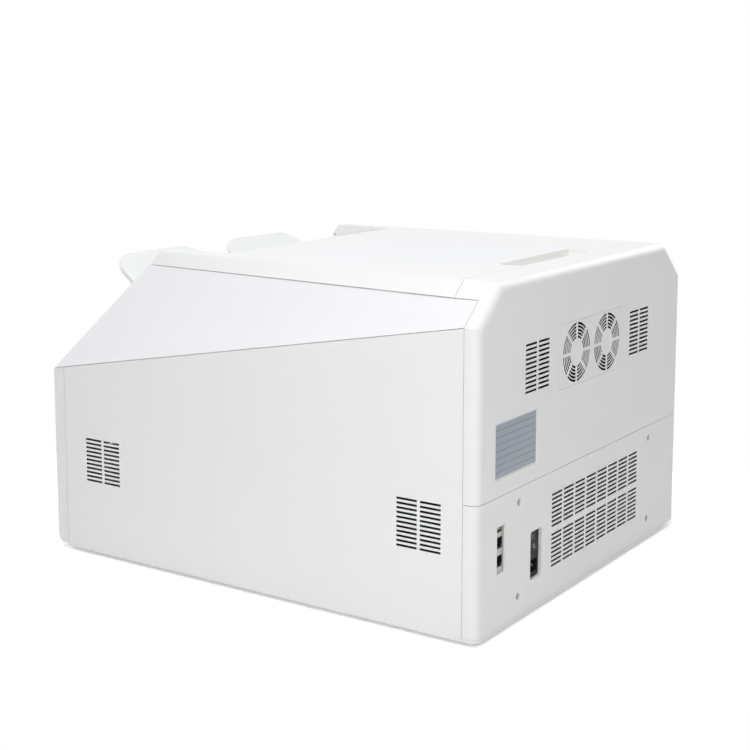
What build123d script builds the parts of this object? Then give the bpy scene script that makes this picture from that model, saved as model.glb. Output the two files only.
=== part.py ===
# Desktop dry printer for x-ray film, rebuilt as separate pieces in millimetres.
# The origin lies on the table under the middle of the machine.
# +Z is up, -Y is the front where the drawers pull out, +X is the right side.
from build123d import *
import math
import os

# Overall body
width = 612.0
depth = 708.0
height = 442.0
foot_height = 5.0
foot_radius = 15.0
foot_inset = 52.0
base_thickness = 4.0
base_rim = 12.0
wall = 3.0
sheet = 2.0
seam = 0.6
cover_return = 20.0
corner_radius = 12.0
near = 0.1
cut_through = 12.0

# Outline of the upper body, where the sides lean in above a rising crease
front_return = 20.0
crease_front_drop = 174.0
crease_rear_drop = 50.0
belt_drop = 21.0
top_front_run = 145.0
belt_inset_front = 68.0
top_inset_front = 76.0
top_inset_rear = 58.0
top_edge_radius = 6.0
front_bottom_radius = 10.0
cover_split_z = 177.0
corner_notch = 9.0
lip_wall = 1.5
lip_play = 0.2
lip_height = 6.0
lift_notch = 55.0

# Lid over the film path, with its finger pocket and its two hinge pins
lid_rear_gap = 54.0
lid_front_gap = 246.0
bay_inset = 7.0
pocket_x = -2.5
pocket_width = 205.0
pocket_length = 35.0
pocket_depth = 16.0
pin_radius = 2.0
knuckle_radius = 4.5
knuckle_width = 4.0
knuckle_play = 0.5
knuckle_room = 9.0
neck_width = 6.0
neck_foot_width = 18.0
neck_foot_height = 12.0
neck_drop = 58.0
rib_reach = 8.0

# Film tray that rises off the front slope, and the bay it drops into
tray_overhang = 14.0
tray_tip_gap = 34.0
tray_tip_drop = 17.0
tray_slope = 0.75
tray_thickness = 6.0
tray_corner = 38.0
tray_notch_half = 28.0
tray_notch_depth = 62.0
tray_notch_round = 40.0
tray_notch_inner = 20.0
tray_play = 1.5
bay_low_gap = 142.0
bay_rear_drop = 46.0
exit_slot = 9.0

# Louvres and the two round fan grilles
slot_length = 30.0
slot_height = 3.0
slot_pitch = 6.0
column_pitch = 34.3
vent_rows = 11
side_vent_front_gap = 93.1
side_vent_rear_gap = 82.8
side_vent_z = 141.0
rear_vent_x = 155.5
low_vent_columns = 8
low_vent_rows = 8
low_vent_x = -25.5
low_vent_z = 124.0
low_vent_step = 54.0
fan_x = -2.0
fan_drop = 117.0
fan_pitch = 93.0
fan_size = 92.0
fan_depth = 25.0
fan_rim = 1.6
fan_hub = 19.0
fan_blades = 7
fan_blade_chord = 22.0
fan_blade_pitch = 40.0
fan_tip_gap = 1.0
fan_rotor_depth = 18.0
fan_strut = 5.0
stator_radius = 14.0
stator_gap = 0.8
grille_radius = 40.0
grille_hub = 17.5
grille_rings = 5
grille_bar = 1.4
grille_spokes = 8
grille_spoke_width = 4.0
fan_plate_x = 2.0
fan_plate_width = 192.0
fan_plate_height = 86.0
fan_plate_lip = 5.0

# Shallow recess for the rating plate
label_width = 108.0
label_height = 71.0
label_corner = 2.5
label_recess = 1.0
label_x = 208.5
label_z = 234.0

# Rear screws, connectors and mains inlet
screw_inset = 12.0
screw_low_z = 35.0
screw_high_z = 158.0
screw_head_radius = 3.6
screw_head_height = 2.4
screw_radius = 1.9
screw_pocket = 5.0
pocket_play = 1.2
port_inset = 61.0
port_z = 108.5
port_width = 22.0
port_height = 61.0
port_recess = 3.0
jack_width = 14.5
jack_height = 15.0
jack_depth = 22.0
jack_hollow = 12.0
jack_wall = 1.2
jack_step = 4.5
latch_width = 6.0
tongue_gap = 1.8
jack_low_z = 86.0
jack_pitch = 23.5
usb_width = 13.0
usb_height = 7.0
usb_depth = 16.0
usb_low_z = 130.0
inlet_x = 152.5
inlet_z = 78.0
inlet_width = 31.0
inlet_height = 64.0
inlet_depth = 30.0
inlet_recess = 5.0
inlet_corner = 4.0
socket_width = 24.0
socket_height = 16.5
socket_corner = 2.0
socket_depth = 16.0
socket_z = 61.0
blade_width = 4.0
blade_height = 2.0
blade_length = 12.0
blade_pitch = 7.0
rocker_width = 19.0
rocker_height = 24.0
rocker_z = 93.0
rocker_swing = 9.0
rocker_pin = 1.5
rocker_pin_depth = 7.0
rocker_play = 0.4
rocker_end_room = 1.6
rocker_room = 12.0

# Inner frame
frame_inset = 94.0
frame_front_gap = 54.0
frame_rear_gap = 32.0
frame_top_gap = 2.0
frame_slope_gap = 16.0
frame_foot = 14.0
tie_radius = 6.0
tie_inset = 20.0
post_width = 22.0
rail_width = 12.0
rail_height = 14.0
arm_width = 16.0
arm_drop = 40.0
bar_height = 12.0
bar_thickness = 4.0

# Film drawers on three-part runners
drawer_over_frame = 2.0
drawer_low_z = 24.0
drawer_web = 10.0
drawer_top_gap = 14.0
drawer_play = 1.5
drawer_face = 20.0
drawer_edge_radius = 2.0
drawer_rear_gap = 236.0
tray_wall = 3.0
tray_lift = 14.0
tray_depth = 32.0
tray_rear_drop = 9.0
handle_width = 140.0
handle_height = 34.0
handle_depth = 14.0
handle_drop = 12.0
runner_front_gap = 34.0
runner_rear_gap = 8.0
runner_height = 30.0
runner_depth = 7.0
runner_wall = 1.5
runner_gap = 0.35

# Film path
shaft_radius = 4.0
shaft_play = 0.05
bush_wall = 2.0
bush_length = 7.0
roller_gap = 20.0
drum_rear_gap = 184.0
drum_drop = 112.0
drum_radius = 34.0
platen_rear_gap = 324.0
platen_drop = 62.0
platen_radius = 12.0
exit_behind_lid = 28.0
exit_drop = 37.0
exit_radius = 7.0
exit_tyre = 30.0
exit_tyres = 5
exit_tyre_pitch = 76.0
nip_gap = 0.4
pick_in_tray = 18.0
pick_radius = 11.0
pick_tyre = 24.0
pick_tyre_pitch = 110.0
pick_tyres = 3
pick_above_tray = 1.5
pulley_ratio = 0.8
pulley_width = 9.0
pulley_stand = 5.0
pulley_flange = 1.5
pulley_flange_width = 1.2
belt_thickness = 1.4
belt_gap = 0.3
motor_rear_gap = 266.0
motor_drop = 142.0
motor_size = 42.0
motor_length = 40.0
motor_shaft_radius = 2.5
motor_pulley = 9.0
gearmotor_radius = 18.0
gearmotor_length = 34.0
head_width = 26.0
head_height = 7.0
head_bar_height = 6.0
head_bar_width = 40.0
fin_count = 7
fin_height = 9.0
fin_width = 1.6
guide_thickness = 1.5
guide_gap = 5.0
guide_bend = 30.0
guide_tail = 20.0
guide_below_drum = 44.0

# Electronics
supply_x = 100.0
supply_rear_gap = 104.0
supply_width = 120.0
supply_length = 74.0
supply_height = 60.0
supply_slot = 15.0
supply_columns = 5
supply_rows = 9
board_thickness = 1.6
board_low_z = 66.0
board_height = 150.0
board_length = 187.0
standoff_radius = 3.0
standoff_inset = 8.0

# Console on the front slope
screen_width = 176.0
screen_height = 104.0
screen_up = 70.0
screen_thickness = 2.0
screen_ledge = 6.0
screen_module = 9.0
button_radius = 9.0
button_x = 150.0
button_up = 56.0
button_travel = 1.5
button_play = 0.3
button_proud = 1.6
button_body = 12.0
lamp_radius = 2.5
lamp_pitch = 14.0
lamp_up = 88.0

# Planes and lines that the pieces share
half = width / 2
front = -depth / 2
rear = depth / 2
half_seam = seam / 2
base_top = foot_height + base_thickness
side_front = front + front_return
side_rear = rear - cover_return
lid_rear = rear - lid_rear_gap
lid_front_y = front + lid_front_gap
rear_inside = rear - wall
side_inside = half - wall
crease_front = height - crease_front_drop
crease_rear = height - crease_rear_drop
belt_z = height - belt_drop
belt_half_front = half - belt_inset_front
top_half_front = half - top_inset_front
top_half_rear = half - top_inset_rear
slope_rise = crease_front_drop
slope_length = math.hypot(top_front_run, slope_rise)
slope_run = top_front_run / slope_rise
slope_cut = slope_length / slope_rise
belt_low = belt_z - half_seam
lid_low = belt_z + half_seam
frame_half = half - frame_inset
frame_inside = frame_half - sheet
frame_front_y = front + frame_front_gap
frame_rear_y = rear - frame_rear_gap
bay_half = frame_half - bay_inset
tray_half = bay_half + tray_overhang
tray_tip_y = front + tray_tip_gap
tray_tip_z = height - tray_tip_drop
tray_cut = math.hypot(1, tray_slope)


def slope_y(z):
    """Where the front slope stands at a height."""
    return front + (z - crease_front) * slope_run


def up_slope(z):
    """Distance along the slope from the crease to a height."""
    return (z - crease_front) * slope_length / slope_rise


def crease_z(y):
    """Height of the crease between the lower and upper side panels."""
    share = (y - front) / (side_rear - front)
    return crease_front + share * (crease_rear - crease_front)


def front_half(z):
    """Half width of the front slope at a height."""
    if z <= belt_z:
        share = (z - crease_front) / (belt_z - crease_front)
        return half + share * (belt_half_front - half)
    share = (z - belt_z) / (height - belt_z)
    return belt_half_front + share * (top_half_front - belt_half_front)


def rear_half(z):
    """Half width of the leaning sides at the rear, at a height."""
    share = (height - z) / (height - crease_rear)
    return top_half_rear + share * (half - top_half_rear)


def block(x0, x1, y0, y1, z0, z1):
    """A box between two corners."""
    place = Pos((x0 + x1) / 2, (y0 + y1) / 2, (z0 + z1) / 2)
    return place * Box(x1 - x0, y1 - y0, z1 - z0)


def side_outline(sketch, x0, x1):
    """An outline drawn in the side view, carried across X."""
    return extrude(Plane.YZ.offset(x0) * sketch, amount=x1 - x0, dir=(1, 0, 0))


def plate_yz(points, x0, x1):
    """A plate with corners given in the side view."""
    return side_outline(Polygon(*points, align=None), x0, x1)


def rod_x(radius, x0, x1, y, z):
    """A round bar across the machine."""
    return Pos((x0 + x1) / 2, y, z) * Rot(0, 90, 0) * Cylinder(radius, abs(x1 - x0))


def rod_y(radius, y0, y1, x, z):
    """A round bar along the machine."""
    return Pos(x, (y0 + y1) / 2, z) * Rot(90, 0, 0) * Cylinder(radius, y1 - y0)


def skin(*rings):
    """A solid ruled between outlines that have the same number of corners."""
    wires = [Wire.make_polygon([Vector(*p) for p in ring], close=True) for ring in rings]
    return Part() + Solid.make_loft(wires, ruled=True)


def flipped(shape):
    """The mirror image on the other side of the machine."""
    return mirror(shape, about=Plane.YZ)


def louvres(place, columns, rows):
    """Cutting boxes for a block of level slots."""
    cutter = Box(slot_length, slot_height, cut_through)
    return [place * spot * cutter for spot in GridLocations(column_pitch, slot_pitch, columns, rows)]


def edges_at(shape, axis, y=None, z=None):
    """Straight edges along an axis that pass through a line."""
    found = shape.edges().filter_by(axis)
    if y is not None:
        found = found.filter_by(lambda e: abs(e.center().Y - y) < near)
    if z is not None:
        found = found.filter_by(lambda e: abs(e.center().Z - z) < near)
    return found


def group(*shapes):
    """Several solids that are handled as one node."""
    return Compound(children=[s for shape in shapes for s in shape.solids()])


pieces = {}

# Base tray with rims inside the side panels and bare corners under the covers
notch_front = side_front + front_return
notch_rear = side_rear - corner_notch
base = block(-side_inside, side_inside, side_front, rear_inside, foot_height, base_top)
for reach, low, high in ((side_inside, side_front - wall, notch_front), (half, notch_rear, rear)):
    base += block(-reach, reach, low, high, foot_height, base_top)
for side in (-1, 1):
    inner, outer = sorted((side * (side_inside - sheet), side * side_inside))
    base += block(inner, outer, notch_front, notch_rear, base_top, base_top + base_rim)
base = fillet(edges_at(base, Axis.Z, y=rear), corner_radius)
base -= block(-half, lift_notch - half, notch_rear, rear, 0, base_top)
pieces["base_plate"] = base
foot_x = half - foot_inset
foot_y = depth / 2 - foot_inset
foot = Cylinder(foot_radius, foot_height, align=(Align.CENTER, Align.CENTER, Align.MIN))
pieces["rubber_feet"] = group(*[Pos(x * foot_x, y * foot_y) * foot for x in (-1, 1) for y in (-1, 1)])

# Lower side panels with two blocks of louvres each
panel_low = base_top + half_seam
side_panel = plate_yz(
    [
        (side_front + half_seam, panel_low),
        (notch_front, foot_height),
        (notch_rear - half_seam, foot_height),
        (notch_rear - half_seam, panel_low),
        (side_rear - half_seam, panel_low),
        (side_rear - half_seam, crease_z(side_rear - half_seam) - half_seam),
        (side_front + half_seam, crease_z(side_front + half_seam) - half_seam),
    ],
    side_inside, half,
)
for vent_y in (front + side_vent_front_gap, rear - side_vent_rear_gap):
    side_panel -= louvres(Plane.YZ.offset(half) * Pos(vent_y, side_vent_z), 2, vent_rows)
pieces["side_panel_right"] = side_panel
pieces["side_panel_left"] = flipped(side_panel)

# Upper side panels, twisted skins between the crease and the belt
front_skin = wall / math.cos(math.atan((half - belt_half_front) / (belt_z - crease_front)))
rear_skin = wall / math.cos(math.atan((half - top_half_rear) / (height - crease_rear)))


def front_station(low, high):
    """Corners of the upper side panel on the front slope."""
    return [
        (front_half(low), slope_y(low), low),
        (front_half(high), slope_y(high), high),
        (front_half(high) - front_skin, slope_y(high), high),
        (front_half(low) - front_skin, slope_y(low), low),
    ]


def rear_station(y, low, high):
    """Corners of the upper side panel near the rear."""
    low_half = half - (low - crease_rear) * (half - top_half_rear) / (height - crease_rear)
    low_half = min(low_half, half)
    return [
        (low_half, y, low), (rear_half(high), y, high),
        (rear_half(high) - rear_skin, y, high), (low_half - rear_skin, y, low),
    ]


front_low = crease_front + half_seam
panel_rear = side_rear - half_seam
rear_low = crease_z(panel_rear) + half_seam
upper_panel = skin(front_station(front_low, belt_low), rear_station(panel_rear, rear_low, belt_low))
pieces["upper_side_panel_right"] = upper_panel
pieces["upper_side_panel_left"] = flipped(upper_panel)

# Front cover with two drawer openings, wrapping onto both sides
cover_top = crease_front - half_seam
front_cover = block(-half, half, front, side_front - half_seam, panel_low, cover_top)
front_cover = fillet(edges_at(front_cover, Axis.X, y=front, z=panel_low), front_bottom_radius)
cover_room = block(-side_inside, side_inside, front + wall, side_front, panel_low + wall, cover_top - wall)
low_edge = edges_at(cover_room, Axis.X, y=front + wall, z=panel_low + wall)
cover_room = fillet(low_edge, front_bottom_radius - wall)
front_cover -= cover_room
drawer_half = frame_half + drawer_over_frame
drawer_height = (crease_front - drawer_top_gap - drawer_web - drawer_low_z) / 2
drawer_levels = [drawer_low_z, drawer_low_z + drawer_height + drawer_web]
for low in drawer_levels:
    front_cover -= block(-drawer_half, drawer_half, front - wall, side_front, low, low + drawer_height)
pieces["front_cover"] = front_cover

# Console on the slope with its screen, lamps and power button
slope = Plane(origin=(0, front, crease_front), x_dir=(1, 0, 0), z_dir=(0, -slope_rise, top_front_run))
tray_meet = (tray_tip_z - tray_slope * (front - crease_front * slope_run - tray_tip_y)) / (
    1 + tray_slope * slope_run
)
mouth_z = tray_meet - tray_thickness * tray_cut - tray_play
inset = front_skin + half_seam
console_low = crease_front + half_seam
console_top = belt_low
console = slope * Polygon(
    (-front_half(console_low) + inset, up_slope(console_low)),
    (front_half(console_low) - inset, up_slope(console_low)),
    (front_half(console_top) - inset, up_slope(console_top)),
    (-front_half(console_top) + inset, up_slope(console_top)),
    align=None,
)
console = extrude(console, amount=-wall) - block(-half, half, front, rear, 0, console_low)
mouth_height = up_slope(height) - up_slope(mouth_z)
mouth_place = slope * Pos(0, up_slope(mouth_z) + mouth_height / 2)
console -= mouth_place * Box(2 * bay_half, mouth_height, cut_through)
window_width = screen_width - 2 * screen_ledge
window_height = screen_height - 2 * screen_ledge
screen_place = slope * Pos(0, screen_up)
glass_pocket = Box(screen_width + 2 * button_play, screen_height + 2 * button_play, 2 * screen_thickness)
console -= screen_place * glass_pocket
console -= screen_place * Box(window_width, window_height, cut_through)
button_place = slope * Pos(button_x, button_up)
console -= button_place * Cylinder(button_radius + button_play, cut_through)
lamp_places = [slope * Pos(button_x + n * lamp_pitch, lamp_up) for n in (-1, 0, 1)]
for place in lamp_places:
    console -= place * Cylinder(lamp_radius, cut_through)
lamp = Pos(0, 0, -wall / 2) * Cylinder(lamp_radius, wall)
pieces["status_lamps"] = group(*[place * lamp for place in lamp_places])
glass = screen_place * Pos(0, 0, -screen_thickness / 2) * Box(screen_width, screen_height, screen_thickness)
panel_behind = screen_place * Pos(0, 0, -screen_thickness - screen_module / 2) * Box(
    window_width, window_height, screen_module
)
pieces["touch_screen"] = group(glass, panel_behind)
button_length = button_proud + button_body
button = button_place * Pos(0, 0, button_proud - button_length / 2) * Cylinder(button_radius, button_length)
button_top = button.edges().sort_by(Axis((0, 0, 0), tuple(slope.z_dir)))[-1]
pieces["power_button"] = fillet(button_top, button_proud / 2)
switch_depth = button_body + button_travel + button_play
console += button_place * Pos(0, 0, -switch_depth - sheet / 2) * Box(
    2 * (button_radius + button_play + sheet), 2 * button_radius, sheet
)
leg_length = switch_depth - wall
for side in (-1, 1):
    leg_x = side * (button_radius + button_play + sheet / 2)
    leg = Pos(leg_x, 0, -wall - leg_length / 2) * Box(sheet, 2 * button_radius, leg_length)
    console += button_place * leg
pieces["console_panel"] = console

# Lid, a hollow moulding with a cheek on each side of the bay
axis_y = slope_y(lid_low) + knuckle_radius / math.tan(math.atan2(slope_rise, top_front_run) / 2)
axis_z = lid_low + knuckle_radius


def lid_ring_front(low, high, side_inset, face_inset):
    """Corners of the lid on the slope, drawn in from its faces."""
    shift = face_inset * slope_cut
    return [
        (-front_half(low) + side_inset, slope_y(low) + shift, low),
        (-front_half(high) + side_inset, slope_y(high) + shift, high),
        (front_half(high) - side_inset, slope_y(high) + shift, high),
        (front_half(low) - side_inset, slope_y(low) + shift, low),
    ]


def lid_ring_rear(y, low, high, side_inset):
    """Corners of the lid at its rear edge."""
    return [
        (-rear_half(low) + side_inset, y, low),
        (-rear_half(high) + side_inset, y, high),
        (rear_half(high) - side_inset, y, high),
        (rear_half(low) - side_inset, y, low),
    ]


lid_end = lid_rear - half_seam
lid_block = skin(lid_ring_front(lid_low, height, 0, 0), lid_ring_rear(lid_end, lid_low, height, 0))
lid_block = fillet(
    lid_block.edges().filter_by(lambda e: abs(e.center().Z - height) < near and abs(e.center().X) > bay_half),
    top_edge_radius,
)
lid_block = fillet(edges_at(lid_block, Axis.X, y=slope_y(lid_low), z=lid_low), knuckle_radius)
lid_room = skin(
    lid_ring_front(lid_low - wall, height - wall, rear_skin, wall),
    lid_ring_rear(lid_end - wall, lid_low - wall, height - wall, rear_skin),
)
lid_room -= block(-bay_half - wall, bay_half + wall, front, lid_front_y + wall, 0, height)
pocket_low = height - pocket_depth
pocket_left = pocket_x - pocket_width / 2
pocket_right = pocket_x + pocket_width / 2
pocket_front = lid_end - pocket_length
lid_room -= block(
    pocket_left - wall, pocket_right + wall, pocket_front - wall, lid_end, pocket_low - sheet, height
)
knuckle_x0 = frame_half - knuckle_play
knuckle_x1 = frame_half + knuckle_width + knuckle_play
for side in (-1, 1):
    rib_low, rib_high = sorted((side * knuckle_x1, side * (knuckle_x1 + wall)))
    lid_room -= block(rib_low, rib_high, front, axis_y + rib_reach, 0, height)
lid = lid_block - lid_room
lid -= block(-bay_half, bay_half, front, lid_front_y, 0, 2 * height)
lid -= block(pocket_left, pocket_right, pocket_front, lid_end + wall, pocket_low, height + wall)
pins = []
for side in (-1, 1):
    lid -= rod_x(knuckle_room, side * knuckle_x0, side * knuckle_x1, axis_y, axis_z)
    pins.append(rod_x(pin_radius, side * bay_half, side * (knuckle_x1 + wall), axis_y, axis_z))
for pin in pins:
    lid -= pin
pieces["top_cover"] = lid
pieces["cover_pins"] = group(*pins)

# Brackets on the inner frame that carry the lid's pins
neck_low_z = height - neck_drop
bracket_outline = Pos(axis_y, axis_z) * Circle(knuckle_radius)
bracket_outline += Pos(axis_y, (axis_z + neck_low_z) / 2) * Rectangle(neck_width, axis_z - neck_low_z)
bracket_outline += Pos(axis_y + neck_width, neck_low_z + neck_width) * Rectangle(
    neck_foot_width, neck_foot_height
)
bracket_outline -= Pos(axis_y, axis_z) * Circle(pin_radius + shaft_play)
hinge_bracket = side_outline(bracket_outline, frame_half, frame_half + knuckle_width)

# Bay liner between the side frames, a trough with the film slot in its rear wall
bay_low_y = front + bay_low_gap
bay_rear_z = height - bay_rear_drop
bay_low_z = tray_tip_z - tray_slope * (bay_low_y - tray_tip_y) - tray_thickness * tray_cut - tray_play
trough = Polygon(
    (slope_y(mouth_z) - wall, mouth_z + wall * tray_slope),
    (bay_low_y, bay_low_z),
    (lid_front_y, bay_rear_z),
    (lid_front_y, height),
    (slope_y(height), height),
    align=None,
)
liner = side_outline(offset(trough, amount=wall, kind=Kind.INTERSECTION), -frame_inside, frame_inside)
liner -= side_outline(trough, -bay_half, bay_half)
liner -= block(-half, half, front, rear, belt_low, 2 * height)
in_front = slope * Pos(0, slope_length / 2, height / 2 - wall) * Box(2 * width, 2 * height, height)
liner -= in_front
roller_half = frame_inside - roller_gap
exit_nip_z = height - exit_drop
slot_low = exit_nip_z - exit_slot / 2
slot_high = slot_low + exit_slot
liner -= block(-roller_half, roller_half, lid_front_y - wall, lid_front_y + 2 * wall, slot_low, slot_high)
pieces["exit_bay"] = liner

# Film tray clipped into the bay, with a finger notch in its raised edge
tray_plane = Plane(origin=(0, tray_tip_y, tray_tip_z), x_dir=(1, 0, 0), z_dir=(0, tray_slope, 1))
tray_visible = (slope_y(tray_meet) - tray_tip_y) * tray_cut
tray_length = (bay_low_y - tray_tip_y) * tray_cut - tray_play
tray_reach = tray_visible + wall
tray_outline = Pos(0, tray_reach / 2) * Rectangle(2 * tray_half, tray_reach)
tray_outline -= Rectangle(2 * tray_notch_half, 2 * tray_notch_depth)
tips = tray_outline.vertices().filter_by(lambda v: abs(v.Y) < near)
tray_outline = fillet(tips.filter_by(lambda v: abs(v.X) > bay_half), tray_corner)
tips = tray_outline.vertices().filter_by(lambda v: abs(v.Y) < near and abs(v.X) < tray_notch_half + 1)
tray_outline = fillet(tips, tray_notch_round)
inner = tray_outline.vertices().filter_by(lambda v: abs(v.Y - tray_notch_depth) < near)
tray_outline = fillet(inner, tray_notch_inner)
tongue = Pos(0, (tray_visible + tray_length) / 2) * Rectangle(
    2 * (bay_half - tray_play), tray_length - tray_visible
)
tray = extrude(tray_plane * tray_outline, amount=-tray_thickness)
tray += extrude(tray_plane * tongue, amount=-tray_thickness)
behind = slope * Pos(0, slope_length / 2, -height / 2) * Box(2 * width, 2 * height, height)
behind -= block(-bay_half + tray_play, bay_half - tray_play, front, rear, 0, 2 * height)
pieces["output_tray"] = tray - behind

# Rear covers, one rounded shell parted along a level seam
shell_outline = Polygon(
    (-half, base_top), (half, base_top), (half, crease_rear), (top_half_rear, height),
    (-top_half_rear, height), (-half, crease_rear), align=None,
)


def rear_shell(grow, round_radius, back):
    """The rear shape drawn in from its outer skin."""
    outline = offset(shell_outline, amount=-grow, kind=Kind.INTERSECTION) if grow else shell_outline
    shape = extrude(Plane.XZ.offset(-lid_rear) * outline, amount=lid_rear - back)
    back_edges = shape.faces().sort_by(Axis.Y)[-1].edges()
    return fillet(back_edges.filter_by(lambda e: e.center().Z > cover_split_z), round_radius)


cover_low_z = cover_split_z - half_seam
cover_high_z = cover_split_z + half_seam
lid_gap_y = lid_rear + half_seam
side_gap_y = side_rear + half_seam
shell_room = rear_shell(wall, corner_radius - wall, rear_inside)
shell_room -= block(-half, half, lid_rear, lid_gap_y + wall, 0, height)
shell = rear_shell(0, corner_radius, rear) - shell_room
shell -= block(-half, half, 0, lid_gap_y, 0, 2 * height)
shell -= block(-width, width, 0, side_gap_y, 0, lid_low)
upper_cover = shell - block(-half, half, 0, rear, 0, cover_high_z)
lower_cover = shell - block(-half, half, 0, rear, cover_low_z, height)
lower_cover -= block(-half, half, 0, rear, 0, panel_low)

# Lip on the lower cover that stands behind the seam
lip_in = wall + lip_play
lip_out = lip_in + lip_wall
lip_room = rear_shell(lip_out, corner_radius - lip_out, rear - lip_out)
lip = rear_shell(lip_in, corner_radius - lip_in, rear - lip_in)
lip &= block(-half, half, side_gap_y, rear, cover_low_z - lip_height, cover_high_z + lip_height)
root = rear_shell(wall, corner_radius - wall, rear_inside)
root &= block(-half, half, side_gap_y, rear, cover_low_z - lip_height, cover_low_z)
lower_cover += lip + root - lip_room
rear_face = Plane(origin=(0, rear, 0), x_dir=(-1, 0, 0), z_dir=(0, 1, 0))
fan_z = height - fan_drop
for side in (-1, 1):
    upper_cover -= louvres(rear_face * Pos(side * rear_vent_x, fan_z), 2, vent_rows)
upper_cover -= block(
    fan_plate_x - fan_plate_width / 2 - half_seam, fan_plate_x + fan_plate_width / 2 + half_seam,
    rear_inside - wall, rear + wall,
    fan_z - fan_plate_height / 2 - half_seam, fan_z + fan_plate_height / 2 + half_seam,
)
label_shape = RectangleRounded(label_width, label_height, label_corner)
upper_cover -= extrude(rear_face * Pos(-label_x, label_z) * label_shape, amount=-label_recess)
for step in (0, 1):
    place = rear_face * Pos(-low_vent_x, low_vent_z - step * low_vent_step)
    lower_cover -= louvres(place, low_vent_columns, low_vent_rows)

# Connector recesses, with a short wall behind each opening
port_x = half - port_inset
port_face = rear - port_recess
inlet_face = rear - inlet_recess


def recess_tube(width_x, height_z, corner, x, z, depth):
    """Rounded opening and the ring that lines it, as a cutter and a wall."""
    place = Plane(origin=(x, rear, z), x_dir=(-1, 0, 0), z_dir=(0, 1, 0))
    hole = RectangleRounded(width_x, height_z, corner)
    ring = offset(hole, amount=sheet) - hole
    return extrude(place * hole, amount=2 * depth, both=True), extrude(place * ring, amount=-depth)


for spec in (
    (port_width, port_height, half_seam, port_x, port_z, port_recess),
    (inlet_width, inlet_height, inlet_corner, inlet_x, inlet_z, inlet_recess),
):
    hole, ring = recess_tube(*spec)
    lower_cover = lower_cover - hole + ring

# Pan-head screws in pockets, whose bosses reach the cross bars
screw_x = frame_half - screw_inset
screw_spots = [(x, z) for x in (-screw_x, screw_x) for z in (screw_low_z, screw_high_z)]
pocket_radius = screw_head_radius + pocket_play
pocket_y = rear - screw_pocket
screws = []
for x, z in screw_spots:
    lower_cover += rod_y(pocket_radius + wall, frame_rear_y, rear_inside, x, z)
    lower_cover -= rod_y(pocket_radius, pocket_y, rear + wall, x, z)
    head = rod_y(screw_head_radius, pocket_y, pocket_y + screw_head_height, x, z)
    head = fillet(head.edges().group_by(Axis.Y)[-1], screw_head_height / 2)
    screw = head + rod_y(screw_radius, frame_rear_y - bar_thickness, pocket_y, x, z)
    lower_cover -= screw
    screws.append(screw)
pieces["rear_upper_cover"] = upper_cover
pieces["rear_lower_cover"] = lower_cover
pieces["rear_cover_screws"] = group(*screws)

# Fan plate with ring grilles
fan_spots = [fan_x - fan_pitch / 2, fan_x + fan_pitch / 2]
plate_back = rear_inside - sheet
fan_plate = block(
    fan_plate_x - fan_plate_width / 2, fan_plate_x + fan_plate_width / 2, rear_inside, rear,
    fan_z - fan_plate_height / 2, fan_z + fan_plate_height / 2,
)
lip_x = fan_plate_width / 2 + fan_plate_lip
lip_z = fan_plate_height / 2 + fan_plate_lip
fan_plate += block(
    fan_plate_x - lip_x, fan_plate_x + lip_x, plate_back, rear_inside, fan_z - lip_z, fan_z + lip_z
)
ring_pitch = (grille_radius - grille_hub) / grille_rings
grille = Sketch()
for ring in range(grille_rings):
    outer = grille_radius - ring * ring_pitch
    grille += Circle(outer) - Circle(outer - ring_pitch + grille_bar)
for spoke in range(grille_spokes // 2):
    grille -= Rot(0, 0, spoke * 360 / grille_spokes) * Rectangle(2 * grille_radius, grille_spoke_width)
for x in fan_spots:
    grille_place = Plane(origin=(x, rear, fan_z), x_dir=(-1, 0, 0), z_dir=(0, 1, 0))
    fan_plate -= extrude(grille_place * grille, amount=2 * wall, both=True)
pieces["fan_plate"] = fan_plate

# Fans: square frame, four struts, stator and a seven-bladed rotor on a pin
fan_in = plate_back - fan_depth
fan_half = fan_size / 2
bore = fan_half - fan_rim
strut_end = fan_in + wall
rotor_in = strut_end + stator_gap
rotor_out = rotor_in + fan_rotor_depth
cup_wall = fan_hub - stator_radius - stator_gap
frame_body = block(-fan_half, fan_half, fan_in, plate_back, -fan_half, fan_half)
frame_body -= rod_y(bore, fan_in - wall, plate_back + wall, 0, 0)
for turn in (45, 135):
    strut = Rot(0, turn, 0) * Box(2 * bore + fan_rim, wall, fan_strut)
    frame_body += Pos(0, fan_in + wall / 2, 0) * strut
frame_body += rod_y(fan_hub, fan_in, strut_end, 0, 0)
frame_body += rod_y(stator_radius, strut_end, rotor_out - cup_wall - stator_gap, 0, 0)
frame_body -= rod_y(pin_radius + shaft_play, fan_in + wall / 2, plate_back, 0, 0)
rotor = rod_y(fan_hub, rotor_in, rotor_out, 0, 0)
rotor -= rod_y(fan_hub - cup_wall, rotor_in - wall, rotor_out - cup_wall, 0, 0)
tip_radius = bore - fan_tip_gap
blade_ring = rod_y(tip_radius, rotor_in, rotor_out, 0, 0)
blade_ring -= rod_y(fan_hub - cup_wall / 2, rotor_in, rotor_out, 0, 0)
for blade in range(fan_blades):
    vane = Pos((fan_hub + tip_radius) / 2, 0, 0) * Rot(fan_blade_pitch, 0, 0) * Box(
        tip_radius - fan_hub + cup_wall, fan_rim, fan_blade_chord
    )
    vane = Rot(0, blade * 360 / fan_blades, 0) * vane
    rotor += (Pos(0, (rotor_in + rotor_out) / 2, 0) * vane) & blade_ring
rotor += rod_y(pin_radius, fan_in + wall, rotor_out - cup_wall, 0, 0)
pieces["fan_frames"] = group(*[Pos(x, 0, fan_z) * frame_body for x in fan_spots])
for side, x in zip(("left", "right"), fan_spots):
    pieces[f"fan_rotor_{side}"] = Pos(x, 0, fan_z) * rotor

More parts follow.
